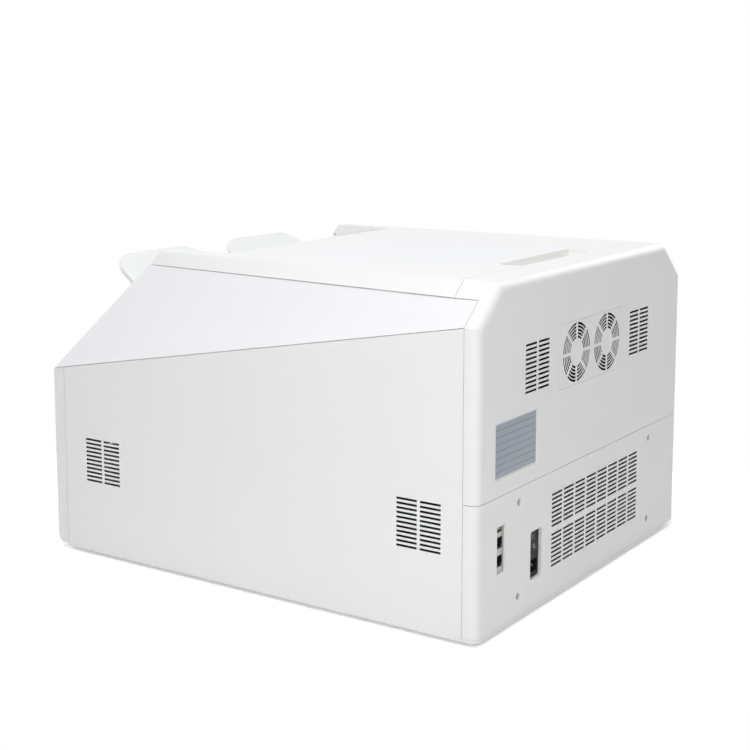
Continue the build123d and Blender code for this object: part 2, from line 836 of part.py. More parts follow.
# Interface plate with two network sockets and a small data port
hole_x0 = port_x - jack_width / 2
hole_x1 = port_x + jack_width / 2
plate_x = port_width / 2 + sheet
plate_z = port_height / 2 + sheet
port_plate = block(
    port_x - plate_x, port_x + plate_x, port_face - sheet, port_face, port_z - plate_z, port_z + plate_z
)
jacks = []
for low in (jack_low_z, jack_low_z + jack_pitch):
    body = block(hole_x0, hole_x1, port_face - jack_depth, port_face, low, low + jack_height)
    port_plate -= body
    mouth = block(
        port_x - jack_hollow / 2, port_x + jack_hollow / 2, port_face - jack_depth + wall, port_face + wall,
        low + jack_step, low + jack_height - jack_wall,
    )
    latch = block(
        port_x - latch_width / 2, port_x + latch_width / 2, port_face - jack_depth + wall, port_face + wall,
        low + jack_wall, low + jack_height - jack_wall,
    )
    jacks.append(body - mouth - latch)
usb_x0 = port_x - usb_width / 2
usb_x1 = port_x + usb_width / 2
usb_top = usb_low_z + usb_height
usb = block(usb_x0, usb_x1, port_face - usb_depth, port_face, usb_low_z, usb_top)
port_plate -= usb
usb -= block(
    usb_x0 + jack_wall / 2, usb_x1 - jack_wall / 2, port_face - usb_depth + wall, port_face + wall,
    usb_low_z + jack_wall / 2, usb_top - jack_wall / 2,
)
usb += block(
    usb_x0 + jack_wall, usb_x1 - jack_wall, port_face - usb_depth, port_face - jack_wall,
    usb_low_z + usb_height / 2, usb_top - tongue_gap,
)
pieces["interface_plate"] = port_plate
pieces["data_sockets"] = group(usb, *jacks)

# Mains inlet with its socket, contacts and rocker switch
inlet_place = Plane(origin=(inlet_x, inlet_face, 0), x_dir=(-1, 0, 0), z_dir=(0, 1, 0))
flange = RectangleRounded(inlet_width + 2 * sheet, inlet_height + 2 * sheet, inlet_corner)
inlet = extrude(inlet_place * Pos(0, inlet_z) * flange, amount=-sheet)
inlet += block(
    inlet_x - inlet_width / 2, inlet_x + inlet_width / 2, inlet_face - inlet_depth, inlet_face - sheet,
    inlet_z - inlet_height / 2 + sheet, inlet_z + inlet_height / 2 - sheet,
)
socket_shape = RectangleRounded(socket_width, socket_height, socket_corner)
inlet -= extrude(inlet_place * Pos(0, socket_z) * socket_shape, amount=-socket_depth)
contacts = []
for step, lift in ((-1, -1), (0, 1), (1, -1)):
    spot_x = inlet_x + step * blade_pitch
    spot_z = socket_z + lift * blade_height
    contacts.append(block(
        spot_x - blade_height / 2, spot_x + blade_height / 2,
        inlet_face - socket_depth, inlet_face - socket_depth + blade_length,
        spot_z - blade_width / 2, spot_z + blade_width / 2,
    ))
pieces["inlet_contacts"] = group(*contacts)
rocker_y = inlet_face - rocker_pin_depth + sheet
inlet -= block(
    inlet_x - rocker_width / 2 - rocker_play, inlet_x + rocker_width / 2 + rocker_play,
    inlet_face - rocker_room, inlet_face + wall,
    rocker_z - rocker_height / 2 - rocker_end_room, rocker_z + rocker_height / 2 + rocker_end_room,
)
pin_reach = rocker_width / 2 + sheet
inlet -= rod_x(rocker_pin + shaft_play, inlet_x - pin_reach, inlet_x + pin_reach, rocker_y, rocker_z)
half_rocker = rocker_height / 2
rocker_outline = [
    (rocker_pin_depth, half_rocker), (rocker_pin_depth - sheet, 0), (rocker_pin_depth, -half_rocker),
    (sheet, -half_rocker), (-sheet, -half_rocker / 2), (-sheet, half_rocker / 2), (sheet, half_rocker),
]
rocker = plate_yz(rocker_outline, -rocker_width / 2, rocker_width / 2)
pin_end = pin_reach - rocker_play
rocker += rod_x(rocker_pin, -pin_end, pin_end, 0, 0)
pieces["power_inlet"] = inlet
pieces["power_rocker"] = Pos(inlet_x, rocker_y, rocker_z) * Rot(rocker_swing, 0, 0) * rocker

# Inner side frames, with a foot flange and holes for every bush
drum_y, drum_z = rear - drum_rear_gap, height - drum_drop
platen_y, platen_z = rear - platen_rear_gap, height - platen_drop
motor_y, motor_z = rear - motor_rear_gap, height - motor_drop
exit_y = lid_front_y + exit_behind_lid
drawer_rear_y = rear - drawer_rear_gap
pick_y = drawer_rear_y - pick_in_tray
frame_top_z = belt_z - frame_top_gap
bush_radius = shaft_radius + shaft_play + bush_wall
pick_levels = [low + tray_lift + tray_depth + shaft_radius + pick_above_tray for low in drawer_levels]
exit_low_z = exit_nip_z - exit_radius - nip_gap / 2
exit_high_z = exit_nip_z + exit_radius + nip_gap / 2
shaft_spots = [(drum_y, drum_z), (platen_y, platen_z), (exit_y, exit_low_z), (exit_y, exit_high_z)]
shaft_spots += [(pick_y, z) for z in pick_levels]
frame_gap = frame_slope_gap * slope_cut
frame_outline = Polygon(
    (frame_front_y, base_top), (frame_rear_y, base_top), (frame_rear_y, frame_top_z),
    (slope_y(frame_top_z) + frame_gap, frame_top_z),
    (frame_front_y, crease_front + (frame_front_y - frame_gap - front) / slope_run),
    align=None,
)
for y, z in shaft_spots:
    frame_outline -= Pos(y, z) * Circle(bush_radius)
board_x = port_x + jack_width / 2
board_rear = port_face - sheet
board_top = board_low_z + board_height
board_front_y = board_rear - board_length
standoff_spots = [
    (y, z)
    for y in (board_front_y + standoff_inset, frame_rear_y - standoff_inset)
    for z in (board_low_z + standoff_inset, board_top - standoff_inset)
]
foot_flange = block(
    frame_half, frame_half + frame_foot, frame_front_y, frame_rear_y, base_top, base_top + sheet
)
frame_right = side_outline(frame_outline, frame_inside, frame_half) + foot_flange + hinge_bracket
frame_left = flipped(frame_right)
for y, z in standoff_spots:
    frame_right += rod_x(standoff_radius, frame_half, board_x, y, z)
frame_left -= rod_x(motor_shaft_radius + sheet, -frame_half - wall, -frame_inside + wall, motor_y, motor_z)
pieces["side_frame_right"] = frame_right
pieces["side_frame_left"] = frame_left
ties = [
    (frame_front_y + tie_inset, base_top + 2 * tie_radius),
    (frame_front_y + 2 * tie_inset, drawer_levels[1] - tie_radius / 2),
    (frame_front_y + drawer_top_gap + 2 * tie_inset, crease_front + tie_inset),
    (platen_y - tie_inset, crease_front + tie_inset),
    (frame_rear_y - 2 * tie_inset, crease_rear - tie_inset),
]
tie_bars = [rod_x(tie_radius, -frame_inside, frame_inside, y, z) for y, z in ties]
bars = []
for z in (screw_low_z, screw_high_z):
    bar = block(-frame_inside, frame_inside, frame_rear_y - bar_thickness, frame_rear_y, 0, bar_height)
    bars.append(Pos(0, 0, z - bar_height / 2) * bar)
rear_bars = group(*bars)
for screw in screws:
    rear_bars = rear_bars - screw
pieces["cross_bars"] = group(rear_bars, *tie_bars)

# Corner posts, rails and arms between the inner frame and the side panels
post_low = side_inside - post_width
post_front = side_front + half_seam
post_top = crease_front - sheet
angle_front = block(post_low, side_inside, post_front, post_front + post_width, base_top, post_top)
angle_front -= block(post_low, side_inside - sheet, post_front + sheet, post_front + post_width, 0, height)
post_top = crease_rear - rail_height
angle_rear = block(post_low, side_inside, side_rear - post_width, side_rear, base_top, post_top)
angle_rear -= block(post_low, side_inside - sheet, side_rear - post_width, side_rear - sheet, 0, height)
rim_relief = block(side_inside - sheet, side_inside, notch_front, notch_rear, base_top, base_top + base_rim)
angle_front -= rim_relief
angle_rear -= rim_relief
rail = plate_yz(
    [
        (post_front + post_width, crease_z(post_front + post_width) - sheet),
        (side_rear - post_width, crease_z(side_rear - post_width) - sheet),
        (side_rear - post_width, crease_z(side_rear - post_width) - sheet - rail_height),
        (post_front + post_width, crease_z(post_front + post_width) - sheet - rail_height),
    ],
    side_inside - rail_width, side_inside,
)
arm_front_y = frame_front_y + arm_width / 2 + sheet
arm_rear_y = frame_rear_y - arm_width / 2 - tie_radius
arm_low_z = board_low_z - arm_width - sheet
arm_spots = [(arm_front_y, arm_low_z), (arm_front_y, crease_front - arm_drop), (arm_rear_y, arm_low_z)]
arm_spots += [(arm_rear_y, board_top + 2 * arm_width), (arm_rear_y, crease_rear - arm_drop)]
arm_length = side_inside - frame_half
arm = Pos(frame_half + arm_length / 2, 0, 0) * Box(arm_length, arm_width, arm_width)
arms = [Pos(0, y, z) * arm for y, z in arm_spots]
supports = group(angle_front, angle_rear - group(*arms), rail, *[arm - angle_front for arm in arms])
pieces["panel_supports"] = group(supports, flipped(supports))

# Drawers: face with a finger scoop, film tray, lift plate and runner parts
tray_side = frame_inside - runner_depth - runner_wall - 2 * runner_gap - runner_wall
face_z = drawer_height - drawer_play
tray_front = front + drawer_face


def drawer_parts(low):
    """Every part of one drawer and of its runners, at a height."""
    face_half = drawer_half - drawer_play
    face = block(-face_half, face_half, front, tray_front, low + drawer_play, low + face_z)
    rim = face.faces().sort_by(Axis.Y)[0].edges()
    face = fillet(rim, drawer_edge_radius)
    scoop_top = low + face_z - handle_drop
    scoop_low = scoop_top - handle_height
    lip_low = scoop_top - handle_depth / 2
    lip_back = front + 2 * drawer_edge_radius
    back = front + handle_depth
    face -= block(-handle_width / 2, handle_width / 2, front - wall, back, scoop_low, lip_low)
    face -= block(-handle_width / 2, handle_width / 2, lip_back, back, scoop_low, scoop_top)
    bottom = low + tray_lift
    top = bottom + tray_depth
    tray = block(-tray_side, tray_side, tray_front, drawer_rear_y, bottom, top)
    tray -= block(
        -tray_side + tray_wall, tray_side - tray_wall, tray_front + tray_wall, drawer_rear_y - tray_wall,
        bottom + tray_wall, height,
    )
    tray -= block(
        -tray_side, tray_side, drawer_rear_y - 2 * tray_wall, drawer_rear_y, top - tray_rear_drop, height
    )
    middle = bottom + tray_depth / 2
    half_outer = runner_height / 2
    half_middle = half_outer - runner_wall - runner_gap
    half_inner = half_middle - runner_wall - runner_gap
    web_outer = frame_inside - runner_wall
    web_middle = web_outer - runner_gap - runner_wall
    ends = (front + runner_front_gap, drawer_rear_y - runner_rear_gap)
    outer = block(frame_inside - runner_depth, frame_inside, *ends, middle - half_outer, middle + half_outer)
    outer -= block(
        0, web_outer, *ends, middle - half_outer + runner_wall, middle + half_outer - runner_wall
    )
    mid = block(
        frame_inside - runner_depth, web_outer - runner_gap, *ends, middle - half_middle, middle + half_middle
    )
    mid -= block(0, web_middle, *ends, middle - half_middle + runner_wall, middle + half_middle - runner_wall)
    inner = block(tray_side, web_middle - runner_gap, *ends, middle - half_inner, middle + half_inner)
    pairs = [group(part, flipped(part)) for part in (outer, mid, inner)]
    return [face, tray] + pairs


outer_runners = []
for name, low in zip(("lower", "upper"), drawer_levels):
    face, tray, outer, mid, inner = drawer_parts(low)
    pieces[f"{name}_drawer_face"] = face
    pieces[f"{name}_film_tray"] = tray
    outer_runners.append(outer)
    pieces[f"{name}_middle_runners"] = mid
    pieces[f"{name}_inner_runners"] = inner
pieces["outer_runners"] = group(*outer_runners)

# Rollers of the film path, each a shaft with its sleeve or tyres
shaft_right = frame_half + bush_length / 2
pulley_near = frame_half + pulley_stand
pulley_out = pulley_near + pulley_width


def tyres(radius, core, count, pitch, length, y, z):
    """Evenly spaced rubber tyres on a shaft."""
    first = -(count - 1) * pitch / 2
    return [
        rod_x(radius, first + n * pitch - length / 2, first + n * pitch + length / 2, y, z)
        - rod_x(core, -half, half, y, z)
        for n in range(count)
    ]


def pulley(radius, y, z):
    """A belt pulley outside the left frame, and its pitch circle in the side view."""
    wheel = rod_x(radius, -pulley_out, -pulley_near, y, z)
    for edge in (-pulley_out, -pulley_near - pulley_flange_width):
        wheel += rod_x(radius + pulley_flange + belt_gap, edge, edge + pulley_flange_width, y, z)
    return wheel, Pos(y, z) * Circle(radius + belt_gap)


drum_wheel, drum_circle = pulley(drum_radius * pulley_ratio, drum_y, drum_z)
drum_shaft = rod_x(shaft_radius, -pulley_out, shaft_right, drum_y, drum_z)
drum_sleeve = rod_x(drum_radius, -roller_half, roller_half, drum_y, drum_z)
drum_sleeve -= rod_x(drum_radius - wall, wall - roller_half, roller_half - wall, drum_y, drum_z)
pieces["drum_sleeve"] = drum_sleeve - drum_shaft
pieces["drum_shaft"] = drum_shaft + drum_wheel
platen_wheel, platen_circle = pulley(platen_radius * pulley_ratio, platen_y, platen_z)
platen_shaft = rod_x(shaft_radius, -pulley_out, shaft_right, platen_y, platen_z)
pieces["platen_sleeve"] = rod_x(platen_radius, -roller_half, roller_half, platen_y, platen_z) - platen_shaft
pieces["platen_shaft"] = platen_shaft + platen_wheel
exit_wheel, exit_circle = pulley(exit_radius * pulley_ratio, exit_y, exit_low_z)
for name, z, left in (("lower", exit_low_z, pulley_out), ("upper", exit_high_z, shaft_right)):
    roller = rod_x(shaft_radius, -left, shaft_right, exit_y, z)
    roller += tyres(exit_radius, shaft_radius, exit_tyres, exit_tyre_pitch, exit_tyre, exit_y, z)
    pieces[f"exit_{name}_roller"] = roller
pieces["exit_lower_roller"] += exit_wheel
motors = []
for name, z in zip(("lower", "upper"), pick_levels):
    motor_end = frame_half + gearmotor_length
    pieces[f"pick_{name}_shaft"] = rod_x(shaft_radius, -motor_end + wall, shaft_right, pick_y, z)
    pieces[f"pick_{name}_tyres"] = group(*tyres(
        pick_radius, shaft_radius, pick_tyres, pick_tyre_pitch, pick_tyre, pick_y, z
    ))
    can = rod_x(gearmotor_radius, -motor_end, -frame_half, pick_y, z)
    can -= rod_x(bush_radius, -frame_half - bush_length / 2, -frame_half, pick_y, z)
    motors.append(can - rod_x(shaft_radius + shaft_play, -motor_end + wall, -frame_half, pick_y, z))
pieces["pick_motors"] = group(*motors)
bushes = []
for y, z in shaft_spots:
    for x in (-frame_half + sheet / 2, frame_half - sheet / 2):
        ring = rod_x(bush_radius, x - bush_length / 2, x + bush_length / 2, y, z)
        bushes.append(ring - rod_x(shaft_radius + shaft_play, -half, half, y, z))
pieces["shaft_bushes"] = group(*bushes)

# Main motor and the toothed belt that turns drum, platen and exit rollers
motor_inner = frame_inside - motor_length
motor_shaft = rod_x(motor_shaft_radius, -pulley_out, -motor_inner - motor_length / 2, motor_y, motor_z)
motor_place = Pos(-frame_inside + motor_length / 2, motor_y, motor_z)
motor = motor_place * Box(motor_length, motor_size, motor_size)
motor = chamfer(motor.edges().filter_by(Axis.X), wall)
motor -= rod_x(
    motor_shaft_radius + shaft_play, -frame_inside - wall, -motor_inner - motor_length / 2, motor_y, motor_z
)
pieces["drive_motor"] = motor
motor_wheel, motor_circle = pulley(motor_pulley, motor_y, motor_z)
pieces["motor_shaft"] = motor_shaft + motor_wheel
belt_inner = make_hull((drum_circle + platen_circle + exit_circle + motor_circle).edges())
belt_loop = offset(belt_inner, amount=belt_thickness) - belt_inner
belt_edge = pulley_flange_width + belt_gap
pieces["drive_belt"] = side_outline(belt_loop, -pulley_out + belt_edge, -pulley_near - belt_edge)

# Thermal print head under its finned bar
head_low = platen_z + platen_radius + nip_gap
head_top = head_low + head_height
bar_top = head_top + head_bar_height
pieces["thermal_head"] = block(
    -roller_half, roller_half, platen_y - head_width / 2, platen_y + head_width / 2, head_low, head_top
)
bar_front = platen_y - head_bar_width / 2
head_bar = block(-frame_inside, frame_inside, bar_front, bar_front + head_bar_width, head_top, bar_top)
fin_pitch = (head_bar_width - fin_width) / (fin_count - 1)
for n in range(fin_count):
    fin_y = bar_front + n * fin_pitch
    head_bar += block(-roller_half, roller_half, fin_y, fin_y + fin_width, bar_top, bar_top + fin_height)
pieces["head_heatsink"] = head_bar

# Sheet guides that lead the film from the drawers up to the drum and on to the exit
guide_y = drum_y + drum_radius
guide_top_z = drum_z - guide_below_drum


def sheet_guide(*corners):
    """A bent sheet across the machine, along a line in the side view."""
    path = FilletPolyline(*corners, radius=guide_bend) if len(corners) > 2 else Line(*corners)
    return side_outline(trace(path, guide_thickness), -frame_inside, frame_inside)


rear_line = guide_y + guide_gap
front_line = guide_y - guide_gap
lower_exit = drawer_levels[0] + tray_lift
upper_exit = drawer_levels[1] + tray_lift
bend_start = front_line - guide_bend - guide_gap
floor_start = drawer_rear_y + 2 * guide_bend
lower_bend_z = pick_levels[0] + guide_bend
upper_bend_z = pick_levels[1] + guide_bend
drum_top = drum_z + drum_radius
drum_end = drum_y - guide_bend
platen_top = platen_z + platen_radius
exit_start = exit_y + guide_bend / 2
guides = [
    sheet_guide((floor_start, lower_exit), (rear_line, lower_exit), (rear_line, guide_top_z)),
    sheet_guide((bend_start, lower_bend_z), (front_line, lower_bend_z), (front_line, upper_exit)),
    sheet_guide((bend_start, upper_bend_z), (front_line, upper_bend_z), (front_line, guide_top_z)),
    sheet_guide((drum_end, drum_top - guide_gap), (platen_y + guide_tail, platen_top - 2 * guide_gap)),
    sheet_guide((drum_end, drum_top + guide_gap), (platen_y + guide_bend, platen_top + guide_gap / 2)),
    sheet_guide((platen_y - guide_tail, platen_top - guide_gap), (exit_start, exit_nip_z - guide_gap)),
]
pieces["film_guides"] = group(*guides)

# Power supply and the control board behind the connectors
supply_y = rear - supply_rear_gap
supply_place = Pos(supply_x, supply_y, base_top + supply_height / 2)
supply_room = Box(supply_width - 2 * sheet, supply_length - 2 * sheet, supply_height - 2 * sheet)
supply = supply_place * (Box(supply_width, supply_length, supply_height) - supply_room)
supply -= [
    Pos(supply_x, supply_y, base_top + supply_height) * spot * Box(supply_slot, slot_height, cut_through)
    for spot in GridLocations(supply_slot + slot_pitch, slot_pitch, supply_columns, supply_rows)
]
pieces["power_supply"] = supply
pieces["control_board"] = block(
    board_x, board_x + board_thickness, board_front_y, board_rear, board_low_z, board_top
)

os.makedirs("parts", exist_ok=True)
for name, piece in pieces.items():
    print(name, len(piece.solids()), round(piece.volume), piece.is_valid)
    export_step(piece, f"parts/{name}.step")
print(len(pieces))
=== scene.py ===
import bpy
import math
import numpy as np
from mathutils import Matrix, Vector


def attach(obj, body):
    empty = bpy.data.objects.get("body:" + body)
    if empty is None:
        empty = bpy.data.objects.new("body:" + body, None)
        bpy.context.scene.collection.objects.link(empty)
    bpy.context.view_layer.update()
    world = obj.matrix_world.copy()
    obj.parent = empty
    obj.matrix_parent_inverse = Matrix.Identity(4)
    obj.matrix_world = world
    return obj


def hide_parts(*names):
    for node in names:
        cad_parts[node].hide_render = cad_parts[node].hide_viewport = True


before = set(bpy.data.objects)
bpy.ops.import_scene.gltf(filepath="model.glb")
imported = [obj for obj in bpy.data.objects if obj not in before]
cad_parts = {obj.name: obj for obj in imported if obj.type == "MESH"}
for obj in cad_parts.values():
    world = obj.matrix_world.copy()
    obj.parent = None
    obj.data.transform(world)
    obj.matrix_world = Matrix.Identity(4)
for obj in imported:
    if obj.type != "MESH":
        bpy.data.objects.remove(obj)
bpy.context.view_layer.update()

# Studio: the camera stands behind the machine on its right, a little above the table,
# where the photographer stood. Its picture plane is shifted as a view camera's is, so that
# the upright edges stay almost upright.
shot_px = 750
focal_px = 1464.0
horizon_px = 280.0
turn, tilt = math.radians(123.927), math.radians(7.858)
aim = Vector((0.0, 0.0, 0.225))
offset = Vector((0.001316, 0.162349, 2.186214))
back = Vector((math.sin(turn) * math.cos(tilt), -math.cos(turn) * math.cos(tilt), math.sin(tilt)))
right = Vector((math.cos(turn), math.sin(turn), 0.0))
up = back.cross(right)
view_camera = bpy.data.cameras.new("view_camera")
film_width = 36.0
view_camera.sensor_width = film_width
view_camera.lens = film_width * focal_px / shot_px
view_camera.shift_y = (horizon_px - shot_px / 2) / shot_px
view_camera.clip_start = 0.05
view_camera.clip_end = 60.0
tripod = bpy.data.objects.new("view_camera", view_camera)
bpy.context.scene.collection.objects.link(tripod)
stand = aim + right * offset.x + up * offset.y + back * offset.z
tripod.matrix_world = Matrix.Translation(stand) @ Matrix((right, up, back)).transposed().to_4x4()
bpy.context.scene.camera = tripod
bpy.context.scene.view_settings.view_transform = "Standard"

# Soft boxes: a wide one above the lid, one beyond the right rear corner, so that the side
# fades towards the front, a weak one behind, and one each for the front and the left side.
# Each row is a lamp's place, its width, its power and its tint.
lit_height = 0.20
for name, spot, size, watts, tint in (
    ("soft_box_top", (0.5, 0.2, 3.2), 2.6, 56.0, (0.97, 0.98, 1.0)),
    ("soft_box_right", (1.6, 0.8, 0.9), 1.0, 10.4, (1.0, 0.997, 0.985)),
    ("soft_box_rear", (0.9, 1.9, 1.0), 1.0, 2.6, (1.0, 0.99, 0.96)),
    ("soft_box_front", (0.2, -2.2, 1.2), 1.3, 12.0, (1.0, 1.0, 1.0)),
    ("soft_box_left", (-2.2, 0.5, 1.3), 1.3, 15.0, (1.0, 1.0, 1.0)),
):
    lamp_data = bpy.data.lights.new(name, "AREA")
    lamp_data.color = tint
    lamp_data.shape = "DISK"
    lamp_data.size = size
    lamp_data.energy = watts
    soft_box = bpy.data.objects.new(name, lamp_data)
    bpy.context.scene.collection.objects.link(soft_box)
    soft_box.location = spot
    beam = Vector((0, 0, lit_height)) - Vector(spot)
    soft_box.rotation_euler = beam.to_track_quat("-Z", "Y").to_euler()


# Air of the studio: a weak, faintly blue light from all round, which fills the shadows.
# The eye, mirrors and glass see plain white in its place.
def step_of(finish, kind, sockets=None, **settings):
    """Adds one step to a finish. A socket takes a number, a colour or another step's output."""
    step = finish.node_tree.nodes.new("ShaderNode" + kind)
    for key, value in settings.items():
        setattr(step, key, value)
    for key, value in (sockets or {}).items():
        if isinstance(value, bpy.types.NodeSocket):
            finish.node_tree.links.new(value, step.inputs[key])
        else:
            step.inputs[key].default_value = value
    return step


def maths(finish, operation, first, second=0.0):
    """One sum in a finish."""
    return step_of(finish, "Math", {0: first, 1: second}, operation=operation).outputs[0]


def eye_rays(finish):
    """One for rays that the eye, a mirror or glass sends, and nought for light that bounces."""
    rays = step_of(finish, "LightPath").outputs
    glossy = maths(finish, "MAXIMUM", rays["Is Camera Ray"], rays["Is Glossy Ray"])
    return maths(finish, "MAXIMUM", glossy, rays["Is Transmission Ray"])


air = bpy.data.worlds.new("studio_air")
bpy.context.scene.world = air
air.use_nodes = True
air.node_tree.nodes.clear()
pale_air = step_of(air, "Background", {"Color": (0.98, 0.985, 1.0, 1), "Strength": 0.25})
white_air = step_of(air, "Background", {"Color": (1, 1, 1, 1), "Strength": 1.0})
all_air = step_of(
    air, "MixShader", {0: eye_rays(air), 1: pale_air.outputs[0], 2: white_air.outputs[0]}
)
step_of(air, "OutputWorld", {"Surface": all_air.outputs[0]})

# Table top: a pale sheet that runs far past the picture. It keeps the shadow under the machine
# and turns to plain white a little way out from it, between the two distances from its middle.
table_half = 14.0
shadow_from, shadow_to = 0.50, 0.80
table_mesh = bpy.data.meshes.new("table_top")
table_corners = np.array([(-1, -1, 0), (1, -1, 0), (1, 1, 0), (-1, 1, 0)]) * table_half
table_mesh.from_pydata(table_corners.tolist(), [], [(0, 1, 2, 3)])
table_top = bpy.data.objects.new("table_top", table_mesh)
bpy.context.scene.collection.objects.link(table_top)
pale_table = bpy.data.materials.new("pale_table")
pale_table.use_nodes = True
sheet = pale_table.node_tree.nodes["Principled BSDF"]
sheet.inputs["Base Color"].default_value = (0.90, 0.90, 0.90, 1)
sheet.inputs["Roughness"].default_value = 0.9
place = step_of(pale_table, "TexCoord").outputs["Object"]
reach = step_of(pale_table, "VectorMath", {0: place}, operation="LENGTH").outputs["Value"]
fade = step_of(
    pale_table, "MapRange", {"Value": reach, "From Min": shadow_from, "From Max": shadow_to},
    interpolation_type="SMOOTHSTEP",
)
glow = step_of(pale_table, "Emission", {"Strength": 0.30})
white = step_of(pale_table, "Emission", {"Strength": 1.0})
lifted = step_of(pale_table, "AddShader", {0: sheet.outputs[0], 1: glow.outputs[0]})
spread = step_of(
    pale_table, "MixShader", {0: fade.outputs["Result"], 1: lifted.outputs[0], 2: white.outputs[0]}
)
seen = step_of(
    pale_table, "MixShader", {0: eye_rays(pale_table), 1: sheet.outputs[0], 2: spread.outputs[0]}
)
table_output = pale_table.node_tree.nodes["Material Output"]
pale_table.node_tree.links.new(seen.outputs[0], table_output.inputs["Surface"])
table_mesh.materials.append(pale_table)


# Base plate: folded sheet steel under the whole machine, with its rims turned up inside the
# side panels. It has the same satin powder paint as the panels.
def satin_skin(
    name, colour, roughness, grain_mm, grain, cloud=0.012, edge_mm=0.7, clear=0.0, shine=0.5
):
    """Powder paint or moulded plastic. Wide clouds shift the tone by the share in cloud, and
    fine ones shift the gloss. Noise of the grain's size lifts the surface, and sharp edges are
    rounded off by edge_mm. A clear coat and the strength of the shine are plain numbers."""
    skin = bpy.data.materials.new(name)
    skin.use_nodes = True
    surface = skin.node_tree.nodes["Principled BSDF"]
    place = step_of(skin, "TexCoord").outputs["Object"]
    wide = step_of(skin, "TexNoise", {"Vector": place, "Scale": 6.0, "Detail": 5.0}).outputs[0]
    darkest, palest = 1 - cloud, 1 + cloud
    tone = step_of(skin, "MapRange", {"Value": wide, "To Min": darkest, "To Max": palest}).outputs[0]
    tint = step_of(skin, "VectorMath", {0: colour, "Scale": tone}, operation="SCALE").outputs[0]
    fine = step_of(skin, "TexNoise", {"Vector": place, "Scale": 70.0, "Detail": 3.0}).outputs[0]
    dull, bright = roughness + 0.05, roughness - 0.05
    sheen = step_of(skin, "MapRange", {"Value": fine, "To Min": dull, "To Max": bright}).outputs[0]
    pimples = step_of(
        skin, "TexNoise", {"Vector": place, "Scale": 1000 / grain_mm, "Detail": 2.0}
    ).outputs[0]
    edge = step_of(skin, "Bevel", {"Radius": edge_mm / 1000}, samples=6).outputs[0]
    lift = step_of(
        skin, "Bump", {"Strength": grain, "Distance": 0.0002, "Height": pimples, "Normal": edge}
    ).outputs[0]
    for key, value in (("Base Color", tint), ("Roughness", sheen), ("Normal", lift)):
        skin.node_tree.links.new(value, surface.inputs[key])
    surface.inputs["Coat Weight"].default_value = clear
    surface.inputs["Coat Roughness"].default_value = 0.15
    surface.inputs["Specular IOR Level"].default_value = shine
    return skin


def dress(finish, *names):
    """Gives the solids of the machine a finish."""
    for name in names:
        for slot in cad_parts[name].material_slots:
            slot.material = finish


dress(
    satin_skin("base_paint", (0.80, 0.80, 0.795), roughness=0.46, grain_mm=2.2, grain=0.12),
    "base_plate",
)

# Rubber feet: four moulded discs pressed into the corners of the base plate, in a dull black
# rubber with a bloom of dust.
dress(
    satin_skin(
        "foot_rubber", (0.030, 0.030, 0.032), roughness=0.82, grain_mm=1.2, grain=0.6, cloud=0.25,
    ),
    "rubber_feet",
)


# Inner frame: two side frames, cross bars, corner posts and rails, pressed and folded from
# galvanised sheet steel, so the zinc shows its spangle and faint rolling lines.
def metal_skin(name, colour, roughness, spangle_mm, lines, depth, spangle=0.10):
    """Bare metal. Cells of spangle_mm shift the tone by the share in spangle. Noise that is
    drawn out along the axis with the smallest number of lines leaves rolling or brushing lines,
    which vary the gloss and lift the surface by depth."""
    skin = bpy.data.materials.new(name)
    skin.use_nodes = True
    surface = skin.node_tree.nodes["Principled BSDF"]
    place = step_of(skin, "TexCoord").outputs["Object"]
    cells = step_of(skin, "TexVoronoi", {"Vector": place, "Scale": 1000 / spangle_mm}).outputs
    grey = step_of(skin, "SeparateColor", {0: cells["Color"]}).outputs[0]
    darkest, palest = 1 - spangle, 1 + spangle
    tone = step_of(skin, "MapRange", {"Value": grey, "To Min": darkest, "To Max": palest}).outputs[0]
    tint = step_of(skin, "VectorMath", {0: colour, "Scale": tone}, operation="SCALE").outputs[0]
    drawn = step_of(skin, "Mapping", {"Vector": place, "Scale": lines}).outputs[0]
    streaks = step_of(skin, "TexNoise", {"Vector": drawn, "Scale": 1.0, "Detail": 4.0}).outputs[0]
    dull, bright = roughness + 0.08, roughness - 0.06
    sheen = step_of(
        skin, "MapRange",
        {"Value": streaks, "From Min": 0.3, "From Max": 0.7, "To Min": dull, "To Max": bright},
    ).outputs[0]
    edge = step_of(skin, "Bevel", {"Radius": 0.0003}, samples=4).outputs[0]
    lift = step_of(
        skin, "Bump", {"Strength": depth, "Distance": 0.0001, "Height": streaks, "Normal": edge}
    ).outputs[0]
    for key, value in (("Base Color", tint), ("Roughness", sheen), ("Normal", lift)):
        skin.node_tree.links.new(value, surface.inputs[key])
    surface.inputs["Metallic"].default_value = 1.0
    return skin


galvanised = metal_skin(
    "galvanised_sheet", (0.56, 0.57, 0.58), roughness=0.42, spangle_mm=7.0, lines=(90, 90, 900),
    depth=0.15,
)
dress(galvanised, "side_frame_right", "side_frame_left", "panel_supports")
dress(
    metal_skin(
        "tie_bar_steel", (0.52, 0.53, 0.54), roughness=0.34, spangle_mm=3.0, lines=(60, 1400, 1400),
        depth=0.2, spangle=0.04,
    ),
    "cross_bars",
)

# Drawer runners: three telescopic channels a side, rolled from bright zinc-plated strip,
# so their lines run the way the drawers slide.
dress(
    metal_skin(
        "runner_zinc", (0.66, 0.66, 0.65), roughness=0.28, spangle_mm=2.0, lines=(1800, 30, 1800),
        depth=0.25, spangle=0.03,
    ),
    "outer_runners", "lower_middle_runners", "upper_middle_runners", "lower_inner_runners",
    "upper_inner_runners",
)

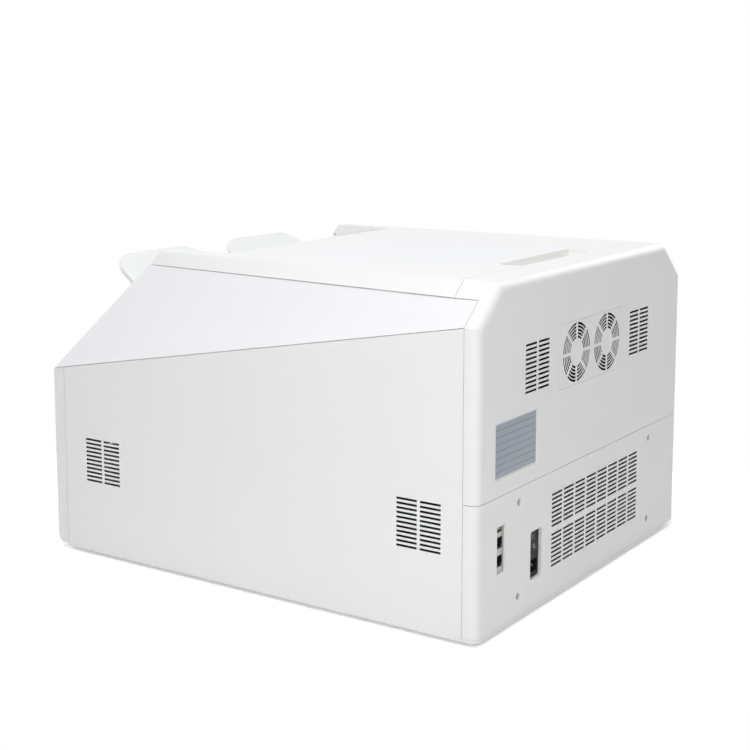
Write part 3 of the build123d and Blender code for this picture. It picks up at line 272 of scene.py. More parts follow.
# Film drawers: folded aluminium trays, brushed along their length and clear anodised,
# behind moulded faces in the white of the front cover.
dress(
    metal_skin(
        "tray_aluminium", (0.52, 0.525, 0.53), roughness=0.46, spangle_mm=1.5,
        lines=(1500, 45, 1500), depth=0.2, spangle=0.02,
    ),
    "lower_film_tray", "upper_film_tray",
)
front_moulding = satin_skin(
    "front_moulding", (0.80, 0.80, 0.805), roughness=0.46, grain_mm=0.9, grain=0.12,
)
dress(front_moulding, "lower_drawer_face", "upper_drawer_face")

# Film path: a satin nickel heating drum, a silicone platen under the print head, moulded
# exit rollers, and pick rollers with grey tyres, all on ground steel shafts in nylon bushes.
dress(
    metal_skin(
        "drum_nickel", (0.70, 0.68, 0.64), roughness=0.24, spangle_mm=1.2, lines=(12, 900, 900),
        depth=0.12, spangle=0.02,
    ),
    "drum_sleeve",
)
dress(
    metal_skin(
        "ground_steel", (0.62, 0.62, 0.62), roughness=0.22, spangle_mm=0.8, lines=(2500, 40, 40),
        depth=0.15, spangle=0.02,
    ),
    "drum_shaft", "platen_shaft", "pick_lower_shaft", "pick_upper_shaft", "motor_shaft",
    "cover_pins",
)
dress(
    satin_skin(
        "platen_silicone", (0.10, 0.11, 0.12), roughness=0.62, grain_mm=0.5, grain=0.3, cloud=0.05,
        edge_mm=0.4,
    ),
    "platen_sleeve",
)
dress(
    satin_skin(
        "pick_rubber", (0.22, 0.22, 0.215), roughness=0.75, grain_mm=0.7, grain=0.5, cloud=0.10,
        edge_mm=0.5,
    ),
    "pick_lower_tyres", "pick_upper_tyres",
)
dress(
    satin_skin(
        "roller_acetal", (0.045, 0.045, 0.048), roughness=0.38, grain_mm=0.8, grain=0.15,
        cloud=0.06, edge_mm=0.4,
    ),
    "exit_lower_roller", "exit_upper_roller",
)
dress(
    satin_skin(
        "bush_nylon", (0.72, 0.70, 0.64), roughness=0.45, grain_mm=0.8, grain=0.12, edge_mm=0.3,
    ),
    "shaft_bushes",
)

# Motors: the main stepping motor has a black lacquered stack, and the two pick motors have
# drawn steel cans, held to the outside of the left frame.
dress(
    satin_skin(
        "motor_lacquer", (0.030, 0.030, 0.032), roughness=0.34, grain_mm=0.6, grain=0.25,
        cloud=0.08, clear=0.2,
    ),
    "drive_motor",
)
dress(
    metal_skin(
        "motor_can", (0.60, 0.60, 0.59), roughness=0.30, spangle_mm=1.0, lines=(1600, 60, 60),
        depth=0.12, spangle=0.02,
    ),
    "pick_motors",
)


# Drive belt: a toothed loop of black neoprene on a fabric cord that turns the drum, the platen
# and the exit roller from the main motor. It runs outside the left frame.
def ring_skin(name, rings, finish, body, loop=False, smooth=True, sharp_degrees=35):
    """A skin over rings of points, an array of bodies by rings by points by 3. Neighbouring
    rings are joined by four-sided faces, and each end is closed by a fan to the mean of its
    ring, or for a loop the last ring meets the first. Where the volume that the faces enclose
    comes out negative, all of them are turned over."""
    rings = np.asarray(rings, dtype=float)
    rings = rings.reshape((-1,) + rings.shape[-3:])
    bodies, count, around = rings.shape[:3]
    index = np.arange(bodies * count * around).reshape(bodies, count, around)
    low = index if loop else index[:, :-1]
    high = np.roll(index, -1, axis=1) if loop else index[:, 1:]
    quads = np.stack([low, np.roll(low, -1, axis=2), np.roll(high, -1, axis=2), high], axis=-1)
    quads = quads.reshape(-1, 4)
    points = rings.reshape(-1, 3)
    fans = np.empty((0, 3), dtype=int)
    if not loop:
        middles = len(points) + np.arange(2 * bodies).reshape(2, bodies, 1)
        points = np.vstack([points, rings[:, 0].mean(axis=1), rings[:, -1].mean(axis=1)])
        for middle, edge, step in ((middles[0], index[:, 0], -1), (middles[1], index[:, -1], 1)):
            hub = np.broadcast_to(middle, edge.shape)
            fan = np.stack([hub, np.roll(edge, step, axis=1), edge], axis=-1)
            fans = np.vstack([fans, fan.reshape(-1, 3)])
    thirds = points[np.vstack([quads[:, :3], quads[:, [0, 2, 3]], fans])]
    volume = np.einsum("ij,ij->", thirds[:, 0], np.cross(thirds[:, 1], thirds[:, 2]))
    mesh = bpy.data.meshes.new(name)
    mesh.from_pydata(points.tolist(), [], quads.tolist() + fans.tolist())
    if volume < 0:
        mesh.flip_normals()
    mesh.materials.append(finish)
    if smooth:
        mesh.shade_smooth()
        mesh.set_sharp_from_angle(angle=math.radians(sharp_degrees))
    piece = bpy.data.objects.new(name, mesh)
    bpy.context.scene.collection.objects.link(piece)
    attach(piece, body)
    return piece


def belt_line(centres, radii, count, directions=7200):
    """The loop that hugs the pulleys. In each direction it reaches as far as the furthest
    pulley, centre along that direction plus radius, and its point there is on that pulley.
    The points are then spaced evenly along it, each with its outward direction, and the last
    result is the loop's length."""
    angle = np.linspace(0, 2 * np.pi, directions)
    outward = np.stack([np.cos(angle), np.sin(angle)], axis=1)
    widest = (outward @ centres.T + radii).argmax(axis=1)
    points = centres[widest] + radii[widest, None] * outward
    along = np.concatenate([[0], np.cumsum(np.linalg.norm(np.diff(points, axis=0), axis=1))])
    even = np.linspace(0, along[-1], count, endpoint=False)
    line = np.stack([np.interp(even, along, points[:, k]) for k in (0, 1)], axis=1)
    facing = np.stack([np.interp(even, along, outward[:, k]) for k in (0, 1)], axis=1)
    return line, facing / np.linalg.norm(facing, axis=1, keepdims=True), along[-1]


belt_play = 0.0003
pulley_centres = np.array([(0.170, 0.330), (0.030, 0.380), (-0.080, 0.3978), (0.088, 0.300)])
pulley_radii = np.array([0.0272, 0.0096, 0.0056, 0.0090]) + belt_play
belt_near, belt_far = -0.2185, -0.2245
tooth_pitch, tooth_lift, belt_thick = 0.00203, 0.00024, 0.0014
tooth_steps, flank_steepness = 8, 2.2
belt_length = belt_line(pulley_centres, pulley_radii, 4)[2]
teeth = round(belt_length / tooth_pitch)
belt_run, facing, _ = belt_line(pulley_centres, pulley_radii, teeth * tooth_steps)
wave = np.cos(2 * np.pi * np.arange(len(belt_run)) / tooth_steps)
tooth = np.clip(flank_steepness * wave, -1, 1) * 0.5 + 0.5
inner = belt_run - facing * (tooth * tooth_lift)[:, None]
outer = belt_run + facing * belt_thick
belt_rings = np.empty((len(belt_run), 4, 3))
belt_rings[:, :, 0] = np.array([belt_near, belt_near, belt_far, belt_far])
belt_rings[:, :, 1:] = np.stack([inner, outer, outer, inner], axis=1)
neoprene = satin_skin(
    "belt_neoprene", (0.028, 0.028, 0.030), roughness=0.70, grain_mm=0.5, grain=0.5, cloud=0.15,
    edge_mm=0.2,
)
toothed_belt = ring_skin("toothed_belt", belt_rings, neoprene, "case", loop=True)
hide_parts("drive_belt")

# Print head: a ceramic strip with a glazed heater line, bonded under an extruded aluminium
# bar whose fins carry the heat away.
dress(
    satin_skin(
        "head_ceramic", (0.50, 0.47, 0.42), roughness=0.25, grain_mm=0.6, grain=0.10, edge_mm=0.2,
    ),
    "thermal_head",
)
dress(
    metal_skin(
        "fin_aluminium", (0.72, 0.73, 0.74), roughness=0.36, spangle_mm=1.2, lines=(35, 1300, 1300),
        depth=0.3, spangle=0.02,
    ),
    "head_heatsink",
)

# Film guides: thin stainless sheets, bent and brushed across the machine, that lead the film
# from the drawers up to the drum and on to the exit.
dress(
    metal_skin(
        "guide_stainless", (0.42, 0.42, 0.415), roughness=0.48, spangle_mm=1.5,
        lines=(25, 1500, 1500), depth=0.25, spangle=0.02,
    ),
    "film_guides",
)

# Power supply: a case of thin galvanised sheet on the base plate, with rows of slots in its
# lid. Its spangle is finer than that of the frames.
dress(
    metal_skin(
        "supply_case", (0.60, 0.60, 0.58), roughness=0.40, spangle_mm=5.0, lines=(300, 300, 80),
        depth=0.15, spangle=0.08,
    ),
    "power_supply",
)


# Control board: glass-fibre board with a green lacquer over copper tracks and tinned pads,
# stood upright on spacers beside the right frame.
def mixed_tint(finish, share, low, high):
    """A colour between two others, by the share of the second."""
    return step_of(finish, "Mix", {0: share, 6: low, 7: high}, data_type="RGBA").outputs[2]


def board_skin(name):
    """Green lacquer. The mortar lines of a brick pattern are the tracks, lighter and raised,
    and small round cells are tinned pads."""
    skin = bpy.data.materials.new(name)
    skin.use_nodes = True
    surface = skin.node_tree.nodes["Principled BSDF"]
    place = step_of(skin, "TexCoord").outputs["Object"]
    parts = step_of(skin, "SeparateXYZ", {0: place}).outputs
    laid = step_of(skin, "CombineXYZ", {"X": parts["Y"], "Y": parts["Z"]}).outputs[0]
    tracks = step_of(
        skin, "TexBrick",
        {"Vector": laid, "Color1": (0.010, 0.085, 0.035, 1), "Color2": (0.014, 0.105, 0.045, 1),
         "Mortar": (0.030, 0.20, 0.08, 1), "Scale": 90.0, "Mortar Size": 0.03, "Bias": 0.0},
    ).outputs
    pads = step_of(skin, "TexVoronoi", {"Vector": laid, "Scale": 230.0}).outputs["Distance"]
    dot = maths(skin, "LESS_THAN", pads, 0.16)
    tint = mixed_tint(skin, dot, tracks["Color"], (0.55, 0.55, 0.50, 1))
    lift = step_of(
        skin, "Bump", {"Strength": 0.3, "Distance": 0.0001, "Height": tracks["Fac"]}
    ).outputs[0]
    for key, value in (("Base Color", tint), ("Metallic", dot), ("Normal", lift)):
        skin.node_tree.links.new(value, surface.inputs[key])
    surface.inputs["Roughness"].default_value = 0.30
    return skin


dress(board_skin("board_lacquer"), "control_board")


# Parts on the board: chips in black epoxy, sleeved capacitor cans and nylon plug headers,
# soldered to its outer face. Each row is a place along Y and Z, then width, height and depth.
def board_parts(rows, waist, corner):
    """Rounded square bodies that stand off the board. Four rings climb each: foot, waist,
    shoulder and a top that is drawn in for the rounded edge. A point of a ring is half the
    size out from the middle, less the corner, and then the corner's radius in its direction."""
    rows = np.array(rows)[:, None, None]
    place, size, depth = rows[..., 0:2], rows[..., 2:4], rows[..., 4:5]
    angle = np.linspace(0, 2 * np.pi, 12, endpoint=False) + np.pi / 12
    way = np.stack([np.cos(angle), np.sin(angle)], axis=1)
    rise = np.array([0.0, 0.5, 0.92, 1.0])[None, :, None, None]
    inset = np.array([0.0, -waist, 0.0, corner / 2])[None, :, None, None]
    outline = place + np.sign(way) * (size / 2 - inset - corner) + way * corner
    standing = np.broadcast_to(board_face + rise * depth, outline.shape[:3] + (1,))
    return np.concatenate([standing, outline], axis=-1)


board_face = 0.25385
can_pitch, header_pitch, wide_header_pitch = 0.014, 0.024, 0.028
chip_rows = [
    (0.250, 0.150, 0.028, 0.028, 0.0030), (0.290, 0.150, 0.020, 0.012, 0.0022),
    (0.290, 0.132, 0.020, 0.012, 0.0022), (0.205, 0.165, 0.014, 0.014, 0.0020),
    (0.205, 0.140, 0.010, 0.006, 0.0016), (0.186, 0.140, 0.010, 0.006, 0.0016),
    (0.250, 0.108, 0.016, 0.010, 0.0020), (0.222, 0.108, 0.010, 0.006, 0.0016),
    (0.300, 0.180, 0.010, 0.006, 0.0016), (0.318, 0.180, 0.010, 0.006, 0.0016),
    (0.230, 0.188, 0.012, 0.008, 0.0018), (0.255, 0.188, 0.012, 0.008, 0.0018),
]
can_rows = [(0.176 + can_pitch * k, 0.094, 0.010, 0.010, 0.016) for k in range(4)]
can_rows += [(0.310, 0.110, 0.008, 0.008, 0.011), (0.322, 0.110, 0.008, 0.008, 0.011)]
header_rows = [(0.172 + header_pitch * k, 0.206, 0.018, 0.007, 0.010) for k in range(7)]
header_rows += [(0.172 + wide_header_pitch * k, 0.076, 0.022, 0.007, 0.010) for k in range(3)]
chip_epoxy = satin_skin(
    "chip_epoxy", (0.020, 0.020, 0.022), roughness=0.50, grain_mm=0.3, grain=0.3, cloud=0.1,
    edge_mm=0.15,
)
can_sleeve = satin_skin(
    "can_sleeve", (0.05, 0.07, 0.12), roughness=0.30, grain_mm=0.8, grain=0.1, cloud=0.05,
    edge_mm=0.2,
)
header_nylon = satin_skin(
    "header_nylon", (0.70, 0.69, 0.64), roughness=0.45, grain_mm=0.6, grain=0.2, edge_mm=0.2,
)
for name, rows, waist, corner, finish, smooth in (
    ("board_chips", chip_rows, 0.0002, 0.0006, chip_epoxy, False),
    ("board_cans", can_rows, 0.0, 0.0039, can_sleeve, True),
    ("board_headers", header_rows, 0.0, 0.0008, header_nylon, False),
):
    ring_skin(name, board_parts(rows, waist, corner), finish, "case", smooth=smooth)


# Side panels: a flat panel with louvres below the crease, and a twisted one above it that leans
# in towards the lid. White satin paint with a faint orange peel. Inside the louvred panels and
# in the walls of their slots the colour is a near-black painted shade.
def painted(skin, middle, half, paint):
    """Turns a finish into another colour inside a box, to paint shade into hollows and light onto
    faces of the lid. There the distance from the box's middle is less than half the box's size
    along all three axes."""
    surface = skin.node_tree.nodes["Principled BSDF"]
    place = step_of(skin, "TexCoord").outputs["Object"]
    run = step_of(skin, "VectorMath", {0: place, 1: middle}, operation="SUBTRACT").outputs[0]
    run = step_of(skin, "VectorMath", {0: run}, operation="ABSOLUTE").outputs[0]
    room = step_of(skin, "VectorMath", {0: half, 1: run}, operation="SUBTRACT").outputs[0]
    parts = step_of(skin, "SeparateXYZ", {0: room}).outputs
    least = maths(skin, "MINIMUM", maths(skin, "MINIMUM", parts[0], parts[1]), parts[2])
    inside = maths(skin, "GREATER_THAN", least, 0.0)
    tint = mixed_tint(skin, inside, surface.inputs["Base Color"].links[0].from_socket, paint)
    skin.node_tree.links.new(tint, surface.inputs["Base Color"])


# Painted shade: a near-black colour for the insides of the louvres and grilles, where the openings
# are in shade.
painted_shade_black = (0.022, 0.022, 0.024, 1)
panel_inside, panel_half = (0, 0, 0.14), (0.3053, 0.33, 0.125)
panel_paint = satin_skin(
    "panel_paint", (0.81, 0.81, 0.812), roughness=0.40, grain_mm=2.4, grain=0.10,
)
# Painted shade inside the side panels' louvres and slot walls.
painted(panel_paint, panel_inside, panel_half, painted_shade_black)
dress(panel_paint, "side_panel_right", "side_panel_left")
dress(
    satin_skin("upper_panel_paint", (0.81, 0.805, 0.825), roughness=0.38, grain_mm=2.4, grain=0.10),
    "upper_side_panel_right", "upper_side_panel_left",
)

# Front cover and console: white mouldings with a fine spark-eroded grain. At each side the front
# cover carries a thin lip that closes the wedge between its level top and the rising crease.
dress(front_moulding, "front_cover", "console_panel")
cover_front, cover_top = -0.354, 0.2677
wedge_foot, wedge_rise = 0.26775, 0.1802
lip_inside, lip_outside = 0.3031, 0.3057
lip_y = np.linspace(-0.3538, -0.3346, 8)
lip_high = wedge_foot + wedge_rise * (lip_y - cover_front)
lip_x = np.array([lip_inside, lip_outside, lip_outside, lip_inside])
lips = np.empty((2, len(lip_y), 4, 3))
lips[..., 0] = np.stack([lip_x, -lip_x])[:, None]
lips[..., 1] = np.stack([lip_y, lip_y[::-1]])[..., None]
lips[:, :, :2, 2] = cover_top
lips[:, :, 2:, 2] = np.stack([lip_high, lip_high[::-1]])[..., None]
ring_skin("front_cover_lips", lips, front_moulding, "case", smooth=False)


# Touch screen: toughened glass with a black printed border over a dark display, set in the
# slope of the console with its module behind it.
def screen_skin(name, middle, up_slope, half_across, half_up):
    """Black glass. Inside the window, where the distance across and up the slope is less than
    half the window, the display shows a little lighter through the glass."""
    skin = bpy.data.materials.new(name)
    skin.use_nodes = True
    surface = skin.node_tree.nodes["Principled BSDF"]
    place = step_of(skin, "TexCoord").outputs["Object"]
    run = step_of(skin, "VectorMath", {0: place, 1: middle}, operation="SUBTRACT").outputs[0]
    inside = 1.0
    for way, half in (((1, 0, 0), half_across), (up_slope, half_up)):
        length = step_of(skin, "VectorMath", {0: run, 1: way}, operation="DOT_PRODUCT").outputs
        within = maths(skin, "LESS_THAN", maths(skin, "ABSOLUTE", length["Value"]), half)
        inside = maths(skin, "MULTIPLY", within, inside)
    smear = step_of(skin, "TexNoise", {"Vector": place, "Scale": 25.0, "Detail": 4.0}).outputs[0]
    sheen = step_of(skin, "MapRange", {"Value": smear, "To Min": 0.05, "To Max": 0.16}).outputs[0]
    tint = mixed_tint(skin, inside, (0.006, 0.006, 0.007, 1), (0.022, 0.025, 0.030, 1))
    skin.node_tree.links.new(tint, surface.inputs["Base Color"])
    skin.node_tree.links.new(sheen, surface.inputs["Roughness"])
    surface.inputs["Coat Weight"].default_value = 0.6
    surface.inputs["Coat Roughness"].default_value = 0.04
    return skin


slope_foot = Vector((0, cover_front, 0.268))
slope_way = Vector((0, 0.145, 0.174)).normalized()
slope_out = Vector((0, -0.174, 0.145)).normalized()
window_middle = slope_foot + slope_way * 0.070
screen_glass = screen_skin("screen_glass", window_middle, slope_way, half_across=0.076, half_up=0.044)
dress(screen_glass, "touch_screen")


# Status lamps: three lenses of frosted tinted plastic, green, amber and red, set in one row
# beside the screen.
def lens_skin(name, amber_from, red_from):
    """The tint goes by place across the console, with a step to amber and one to red, and
    fine noise frosts the surface."""
    skin = bpy.data.materials.new(name)
    skin.use_nodes = True
    surface = skin.node_tree.nodes["Principled BSDF"]
    place = step_of(skin, "TexCoord").outputs["Object"]
    across = step_of(skin, "SeparateXYZ", {0: place}).outputs["X"]
    amber = maths(skin, "GREATER_THAN", across, amber_from)
    red = maths(skin, "GREATER_THAN", across, red_from)
    tint = mixed_tint(skin, amber, (0.02, 0.42, 0.10, 1), (0.60, 0.27, 0.02, 1))
    tint = mixed_tint(skin, red, tint, (0.50, 0.03, 0.02, 1))
    frost = step_of(skin, "TexNoise", {"Vector": place, "Scale": 900.0, "Detail": 2.0}).outputs[0]
    lift = step_of(skin, "Bump", {"Strength": 0.2, "Distance": 0.0001, "Height": frost}).outputs[0]
    skin.node_tree.links.new(tint, surface.inputs["Base Color"])
    skin.node_tree.links.new(lift, surface.inputs["Normal"])
    surface.inputs["Roughness"].default_value = 0.22
    surface.inputs["Coat Weight"].default_value = 0.5
    return skin


dress(lens_skin("lens_plastic", amber_from=0.143, red_from=0.157), "status_lamps")


# Power button: a round blue-grey moulding that springs back out of the console, with the
# usual open ring and bar printed on its top.
def printed_line(name, line, width, middle, across, upward, body, loop=False):
    """A raised line of ink. The line's points are run across and up from its middle, and each
    ring goes round its cross-section, half the width to each side and the ink's thickness out."""
    line = np.asarray(line, dtype=float)
    ahead = np.roll(line, -1, axis=0) - np.roll(line, 1, axis=0)
    if not loop:
        ahead[0], ahead[-1] = line[1] - line[0], line[-1] - line[-2]
    ahead /= np.linalg.norm(ahead, axis=1, keepdims=True)
    aside = np.stack([ahead[:, 1], -ahead[:, 0]], axis=1) * width / 2
    edges = np.stack([line - aside, line + aside, line + aside, line - aside], axis=1)
    rise = np.array([0.0, 0.0, ink_thick, ink_thick])[None, :, None]
    outward = np.cross(across, upward)
    laid = np.array(middle) + edges[..., :1] * np.array(across) + edges[..., 1:] * np.array(upward)
    return ring_skin(name, laid + rise * outward, white_ink, body, loop=loop, smooth=False)


dress(
    satin_skin(
        "button_plastic", (0.36, 0.41, 0.47), roughness=0.34, grain_mm=0.7, grain=0.12, edge_mm=0.5,
    ),
    "power_button",
)
ink_thick = 0.00005
white_ink = satin_skin(
    "white_ink", (0.72, 0.73, 0.74), roughness=0.55, grain_mm=0.2, grain=0.2, edge_mm=0.05,
)
button_top = slope_foot + slope_way * 0.056 + slope_out * 0.0016 + Vector((0.150, 0, 0))
mark_radius, mark_width = 0.0042, 0.0008
sweep = np.radians(np.linspace(125, 415, 48))
open_ring = np.stack([np.cos(sweep), np.sin(sweep)], axis=1) * mark_radius
short_bar = np.stack([np.zeros(6), np.linspace(0.0012, 0.0055, 6)], axis=1)
for name, mark in (("power_mark_ring", open_ring), ("power_mark_bar", short_bar)):
    printed_line(name, mark, mark_width, button_top, (1, 0, 0), slope_way, "button")

# Exit bay and film tray: a deep white trough between the side frames, and a thinner tray with
# a faint green cast that lifts out for cleaning.
dress(
    satin_skin("bay_moulding", (0.82, 0.825, 0.82), roughness=0.48, grain_mm=0.9, grain=0.12),
    "exit_bay",
)
dress(
    satin_skin(
        "tray_moulding", (0.82, 0.832, 0.826), roughness=0.36, grain_mm=1.4, grain=0.08,
        edge_mm=1.2,
    ),
    "output_tray",
)

# Lid: one large moulding with a finger pocket, hinged on two pins. Its white is plain, and
# the faces in the pocket and beside the bay carry a painted light, a brighter and warmer white.
lid_moulding = satin_skin(
    "lid_moulding", (0.808, 0.810, 0.812), roughness=0.42, grain_mm=0.9, grain=0.10, edge_mm=1.0,
)
# Painted light: the finger pocket and the bay's cheeks are lightened to stand in for light falling on
# them.
painted_light_white = (0.91, 0.91, 0.885, 1)
pocket_middle, pocket_half = (-0.0025, 0.2825, 0.434), (0.1027, 0.0182, 0.0085)
cheek_middle, cheek_half = (0, -0.167, 0.4265), (0.2053, 0.0592, 0.0153)
painted(lid_moulding, pocket_middle, pocket_half, painted_light_white)
painted(lid_moulding, cheek_middle, cheek_half, painted_light_white)
dress(lid_moulding, "top_cover")

# Rear covers: an upper and a lower moulding that meet on a level seam, with the fan plate
# snapped into the upper one. Their white is a little warmer than the lid's. Inside the louvres
# and the ring grilles a near-black painted shade darkens the walls of the openings.
upper_moulding = satin_skin(
    "rear_moulding", (0.80, 0.805, 0.798), roughness=0.46, grain_mm=0.9, grain=0.12, edge_mm=0.6,
)
lower_moulding = upper_moulding.copy()
upper_inside, upper_half = (0, 0.20, 0.325), (0.20, 0.1533, 0.042)
lower_inside, lower_half = (-0.0255, 0.20, 0.097), (0.145, 0.1533, 0.055)
# Painted shade inside the louvres and grilles of both rear covers.
painted(upper_moulding, upper_inside, upper_half, painted_shade_black)
painted(lower_moulding, lower_inside, lower_half, painted_shade_black)
dress(upper_moulding, "rear_upper_cover", "fan_plate")
dress(lower_moulding, "rear_lower_cover")


# Cover screws: four pan-head screws with a cross recess, in dark zinc. Each sits on the floor of
# its pocket in the lower cover and reaches a cross bar.
def screw_rings(middle_x, middle_z, turned):
    """A pan-head screw as rings about its axis: out over the head, round its edge, down to the
    pocket's floor and in to the shank. The head is sunk where a point is within the half width
    of either arm of the cross, and the depth fades towards the arms' ends."""
    bend = np.linspace(0, np.pi / 2, 7)
    flat = np.linspace(0.0002, head_radius - head_edge, 20)
    edge_reach = flat[-1] + head_edge * np.sin(bend)
    edge_fall = head_edge * (1 - np.cos(bend))
    reach = np.concatenate([flat, edge_reach, (head_radius, shank_radius, shank_radius)])
    fall = np.concatenate([0 * flat, edge_fall, (head_height, head_height, head_height)])
    fall[-1] = head_foot + head_height - screw_end
    angle = np.linspace(0, 2 * np.pi, 48, endpoint=False)
    reach, spin = np.meshgrid(reach, angle, indexing="ij")
    across = np.minimum(abs(reach * np.cos(spin)), abs(reach * np.sin(spin)))
    fade = np.clip(recess_fade * (1 - reach / recess_reach), 0, 1)
    sunk = recess_depth * (across < recess_half) * fade
    y = head_foot + head_height - fall[:, None] - sunk * (fall[:, None] == 0)
    spin = spin + turned
    return np.stack([middle_x + reach * np.cos(spin), y, middle_z + reach * np.sin(spin)], axis=-1)


head_foot, head_height, head_radius, head_edge = 0.349, 0.0024, 0.0036, 0.0012
shank_radius, screw_end = 0.0019, 0.318
recess_reach, recess_half, recess_depth, recess_fade = 0.0021, 0.00045, 0.0013, 1.8
screw_side, screw_low, screw_high = 0.200, 0.035, 0.158
screws = [
    screw_rings(-screw_side, screw_low, 0.2), screw_rings(-screw_side, screw_high, 1.1),
    screw_rings(screw_side, screw_low, 0.55), screw_rings(screw_side, screw_high, 1.35),
]
screw_zinc = metal_skin(
    "screw_zinc", (0.13, 0.15, 0.15), roughness=0.36, spangle_mm=0.6, lines=(900, 900, 900),
    depth=0.1, spangle=0.03,
)
cover_screws = ring_skin("cover_screws", screws, screw_zinc, "case")
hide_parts("rear_cover_screws")

# Fans: black frames of glass-filled plastic behind the fan plate, each with a bladed rotor
# that turns on the frame's hub.
dress(
    satin_skin(
        "fan_plastic", (0.016, 0.016, 0.018), roughness=0.48, grain_mm=0.7, grain=0.25, cloud=0.1,
        edge_mm=0.4, shine=0.25,
    ),
    "fan_frames", "fan_rotor_left", "fan_rotor_right",
)


# Interface plate and its sockets: a nickel plate with two black network jacks and a small
# data port whose shell is tinned steel.
def socket_skin(name, shell_z):
    """Black moulding below a height, and above it a brownish tinned shell with tarnish."""
    skin = satin_skin(
        name, (0.016, 0.016, 0.018), roughness=0.45, grain_mm=0.6, grain=0.2, cloud=0.08,
        edge_mm=0.2, shine=0.3,
    )
    surface = skin.node_tree.nodes["Principled BSDF"]
    place = step_of(skin, "TexCoord").outputs["Object"]
    height = step_of(skin, "SeparateXYZ", {0: place}).outputs["Z"]
    above = maths(skin, "GREATER_THAN", height, shell_z)
    tarnish = step_of(skin, "TexNoise", {"Vector": place, "Scale": 400.0, "Detail": 3.0}).outputs[0]
    shell = mixed_tint(skin, tarnish, (0.34, 0.29, 0.24, 1), (0.50, 0.45, 0.39, 1))
    tint = mixed_tint(skin, above, surface.inputs["Base Color"].links[0].from_socket, shell)
    skin.node_tree.links.new(tint, surface.inputs["Base Color"])
    skin.node_tree.links.new(above, surface.inputs["Metallic"])
    return skin


dress(
    metal_skin(
        "interface_nickel", (0.42, 0.42, 0.41), roughness=0.42, spangle_mm=1.0,
        lines=(900, 900, 60), depth=0.15, spangle=0.03,
    ),
    "interface_plate",
)
dress(socket_skin("socket_black", 0.128), "data_sockets")

# Jack springs: eight gilt wires in each network jack, bent down from the roof of the mouth
# towards its back. Each wire runs back from behind the face, and its drop grows as a power of
# the share of its length, up to the full drop.
jack_x, jack_face = 0.245, 0.351
mouth_floors, mouth_roof = np.array([0.086, 0.1095]), 0.0138
wire_count, wire_pitch, wire_half = 8, 0.00102, 0.00022
wire_set_back, wire_run, wire_drop = 0.0035, 0.0135, 0.0056
drop_pace, drop_bend = 1.25, 1.4
along = np.linspace(0, 1, 14)
spring_y = jack_face - wire_set_back - wire_run * along
spring_drop = wire_drop * np.clip(drop_pace * along, 0, 1) ** drop_bend
spring_x = jack_x + (np.arange(wire_count) - (wire_count - 1) / 2) * wire_pitch
springs = np.empty((len(mouth_floors), wire_count, len(along), 4, 3))
springs[..., 0] = spring_x[None, :, None, None] + np.array([-1, -1, 1, 1]) * wire_half
springs[..., 1] = spring_y[None, None, :, None]
springs[..., 2] = mouth_floors[:, None, None, None] + mouth_roof - spring_drop[:, None]
springs[..., 2] += np.array([-0.0001, 0.00012, 0.00012, -0.0001])
gilt = metal_skin(
    "gilt_contact", (0.80, 0.56, 0.22), roughness=0.22, spangle_mm=0.8, lines=(800, 60, 800),
    depth=0.08, spangle=0.02,
)
ring_skin("jack_springs", springs, gilt, "case", smooth=False)

# Mains inlet: a black moulding with a three-pin socket and a rocker switch above it, whose
# ends carry the usual printed bar and ring. The rocker stands tilted by half its swing.
dress(
    satin_skin(
        "inlet_plastic", (0.012, 0.012, 0.013), roughness=0.50, grain_mm=0.7, grain=0.2, cloud=0.08,
        edge_mm=0.3, shine=0.25,
    ),
    "power_inlet",
)
dress(
    satin_skin(
        "rocker_plastic", (0.014, 0.014, 0.015), roughness=0.42, grain_mm=0.7, grain=0.12,
        cloud=0.06, edge_mm=0.5, shine=0.3,
    ),
    "power_rocker",
)
dress(
    metal_skin(
        "contact_brass", (0.70, 0.62, 0.42), roughness=0.28, spangle_mm=0.8, lines=(60, 900, 60),
        depth=0.1, spangle=0.02,
    ),
    "inlet_contacts",
)
rocker_axis = Vector((0.1525, 0.344, 0.093))
rocker_tilt = Matrix.Rotation(math.radians(9.0), 3, "X")
face_slope = math.atan2(0.002, 0.012)
face_out, face_up = 0.00603, 0.0062
ring_half, bar_half, switch_line = 0.0020, 0.0026, 0.0005
round_sweep = np.linspace(0, 2 * np.pi, 40, endpoint=False)
off_ring = np.stack([np.cos(round_sweep) * ring_half, np.sin(round_sweep) * bar_half], axis=1)
on_bar = np.stack([np.zeros(6), np.linspace(-bar_half, bar_half, 6)], axis=1)
for name, mark, side, loop in (
    ("switch_mark_on", on_bar, 1, False),
    ("switch_mark_off", off_ring, -1, True),
):
    lean = rocker_tilt @ Matrix.Rotation(-side * face_slope, 3, "X")
    middle = rocker_axis + rocker_tilt @ Vector((0, face_out, side * face_up))
    upright = lean @ Vector((0, 0, 1))
    printed_line(name, mark, switch_line, middle, (-1, 0, 0), upright, "rocker", loop=loop)
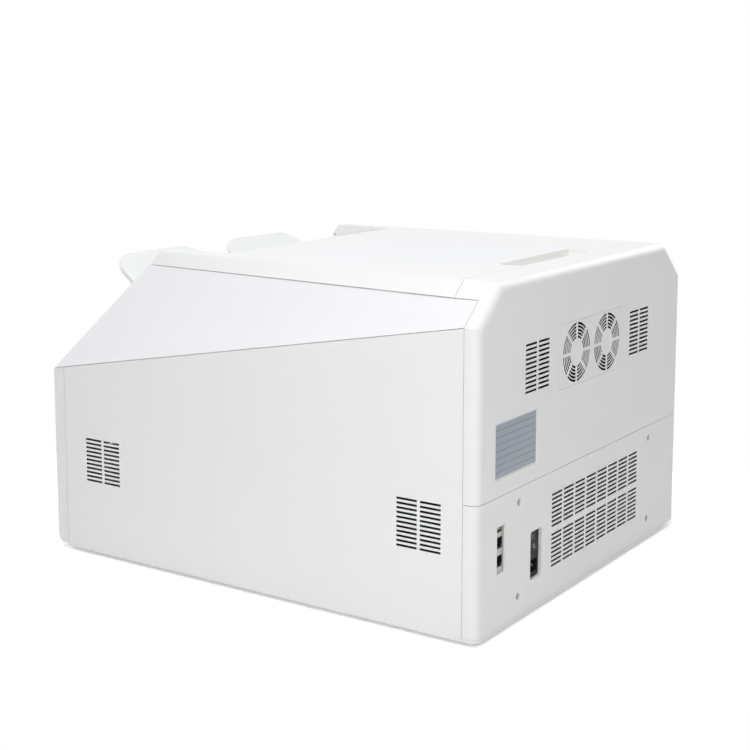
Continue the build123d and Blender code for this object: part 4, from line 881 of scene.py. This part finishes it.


# Rating plate: a thin polyester label, blue-grey with ruled blank rows and a pale band round
# its edge that is a painted highlight, stuck in its shallow recess in the upper rear cover.
def label_skin(name, low, high, highlight_band, rows, rule_half):
    """Blue-grey print with thin darker rules at even heights, inside a pale band round the edge that
    is a painted highlight.
    """
    skin = satin_skin(
        name, (0.31, 0.345, 0.40), roughness=0.36, grain_mm=0.5, grain=0.08, cloud=0.02,
        edge_mm=0.1,
    )
    surface = skin.node_tree.nodes["Principled BSDF"]
    place = step_of(skin, "TexCoord").outputs["Object"]
    parts = step_of(skin, "SeparateXYZ", {0: place}).outputs
    inside = 1.0
    for part, start, end in (("X", low[0], high[0]), ("Z", low[1], high[1])):
        run = maths(skin, "ABSOLUTE", maths(skin, "SUBTRACT", parts[part], (start + end) / 2))
        within = maths(skin, "LESS_THAN", run, (end - start) / 2 - highlight_band)
        inside = maths(skin, "MULTIPLY", within, inside)
    rise = maths(skin, "SUBTRACT", parts["Z"], low[1])
    row = maths(skin, "PINGPONG", rise, (high[1] - low[1]) / (rows + 1) / 2)
    rule = maths(skin, "LESS_THAN", row, rule_half)
    print_tint = surface.inputs["Base Color"].links[0].from_socket
    ruled = mixed_tint(skin, rule, print_tint, (0.13, 0.15, 0.18, 1))
    # The pale band round the label is a painted highlight on its edges.
    framed = mixed_tint(skin, inside, (0.66, 0.68, 0.70, 1), ruled)
    skin.node_tree.links.new(framed, surface.inputs["Base Color"])
    return skin


label_low, label_high = np.array([0.155, 0.199]), np.array([0.262, 0.269])
label_floor, label_thick, label_corner, label_steps = 0.353, 0.00012, 0.0015, 48
edge_angle = np.linspace(0, 2 * np.pi, label_steps, endpoint=False) + np.pi / label_steps
edge_way = np.stack([np.cos(edge_angle), np.sin(edge_angle)], axis=1)
label_half = (label_high - label_low) / 2
outline = np.sign(edge_way) * (label_half - label_corner) + edge_way * label_corner
label_rings = []
for breadth, rise in ((0.02, 0.0), (1.0, 0.0), (1.0, 0.8), (0.998, 1.0), (0.02, 1.0)):
    flat = outline * breadth + (label_low + label_high) / 2
    level = np.full(label_steps, label_floor + rise * label_thick)
    label_rings.append(np.column_stack([flat[:, 0], level, flat[:, 1]]))
label_ink = label_skin("label_ink", label_low, label_high, highlight_band=0.0016, rows=7, rule_half=0.00035)
ring_skin("rating_plate", label_rings, label_ink, "case")
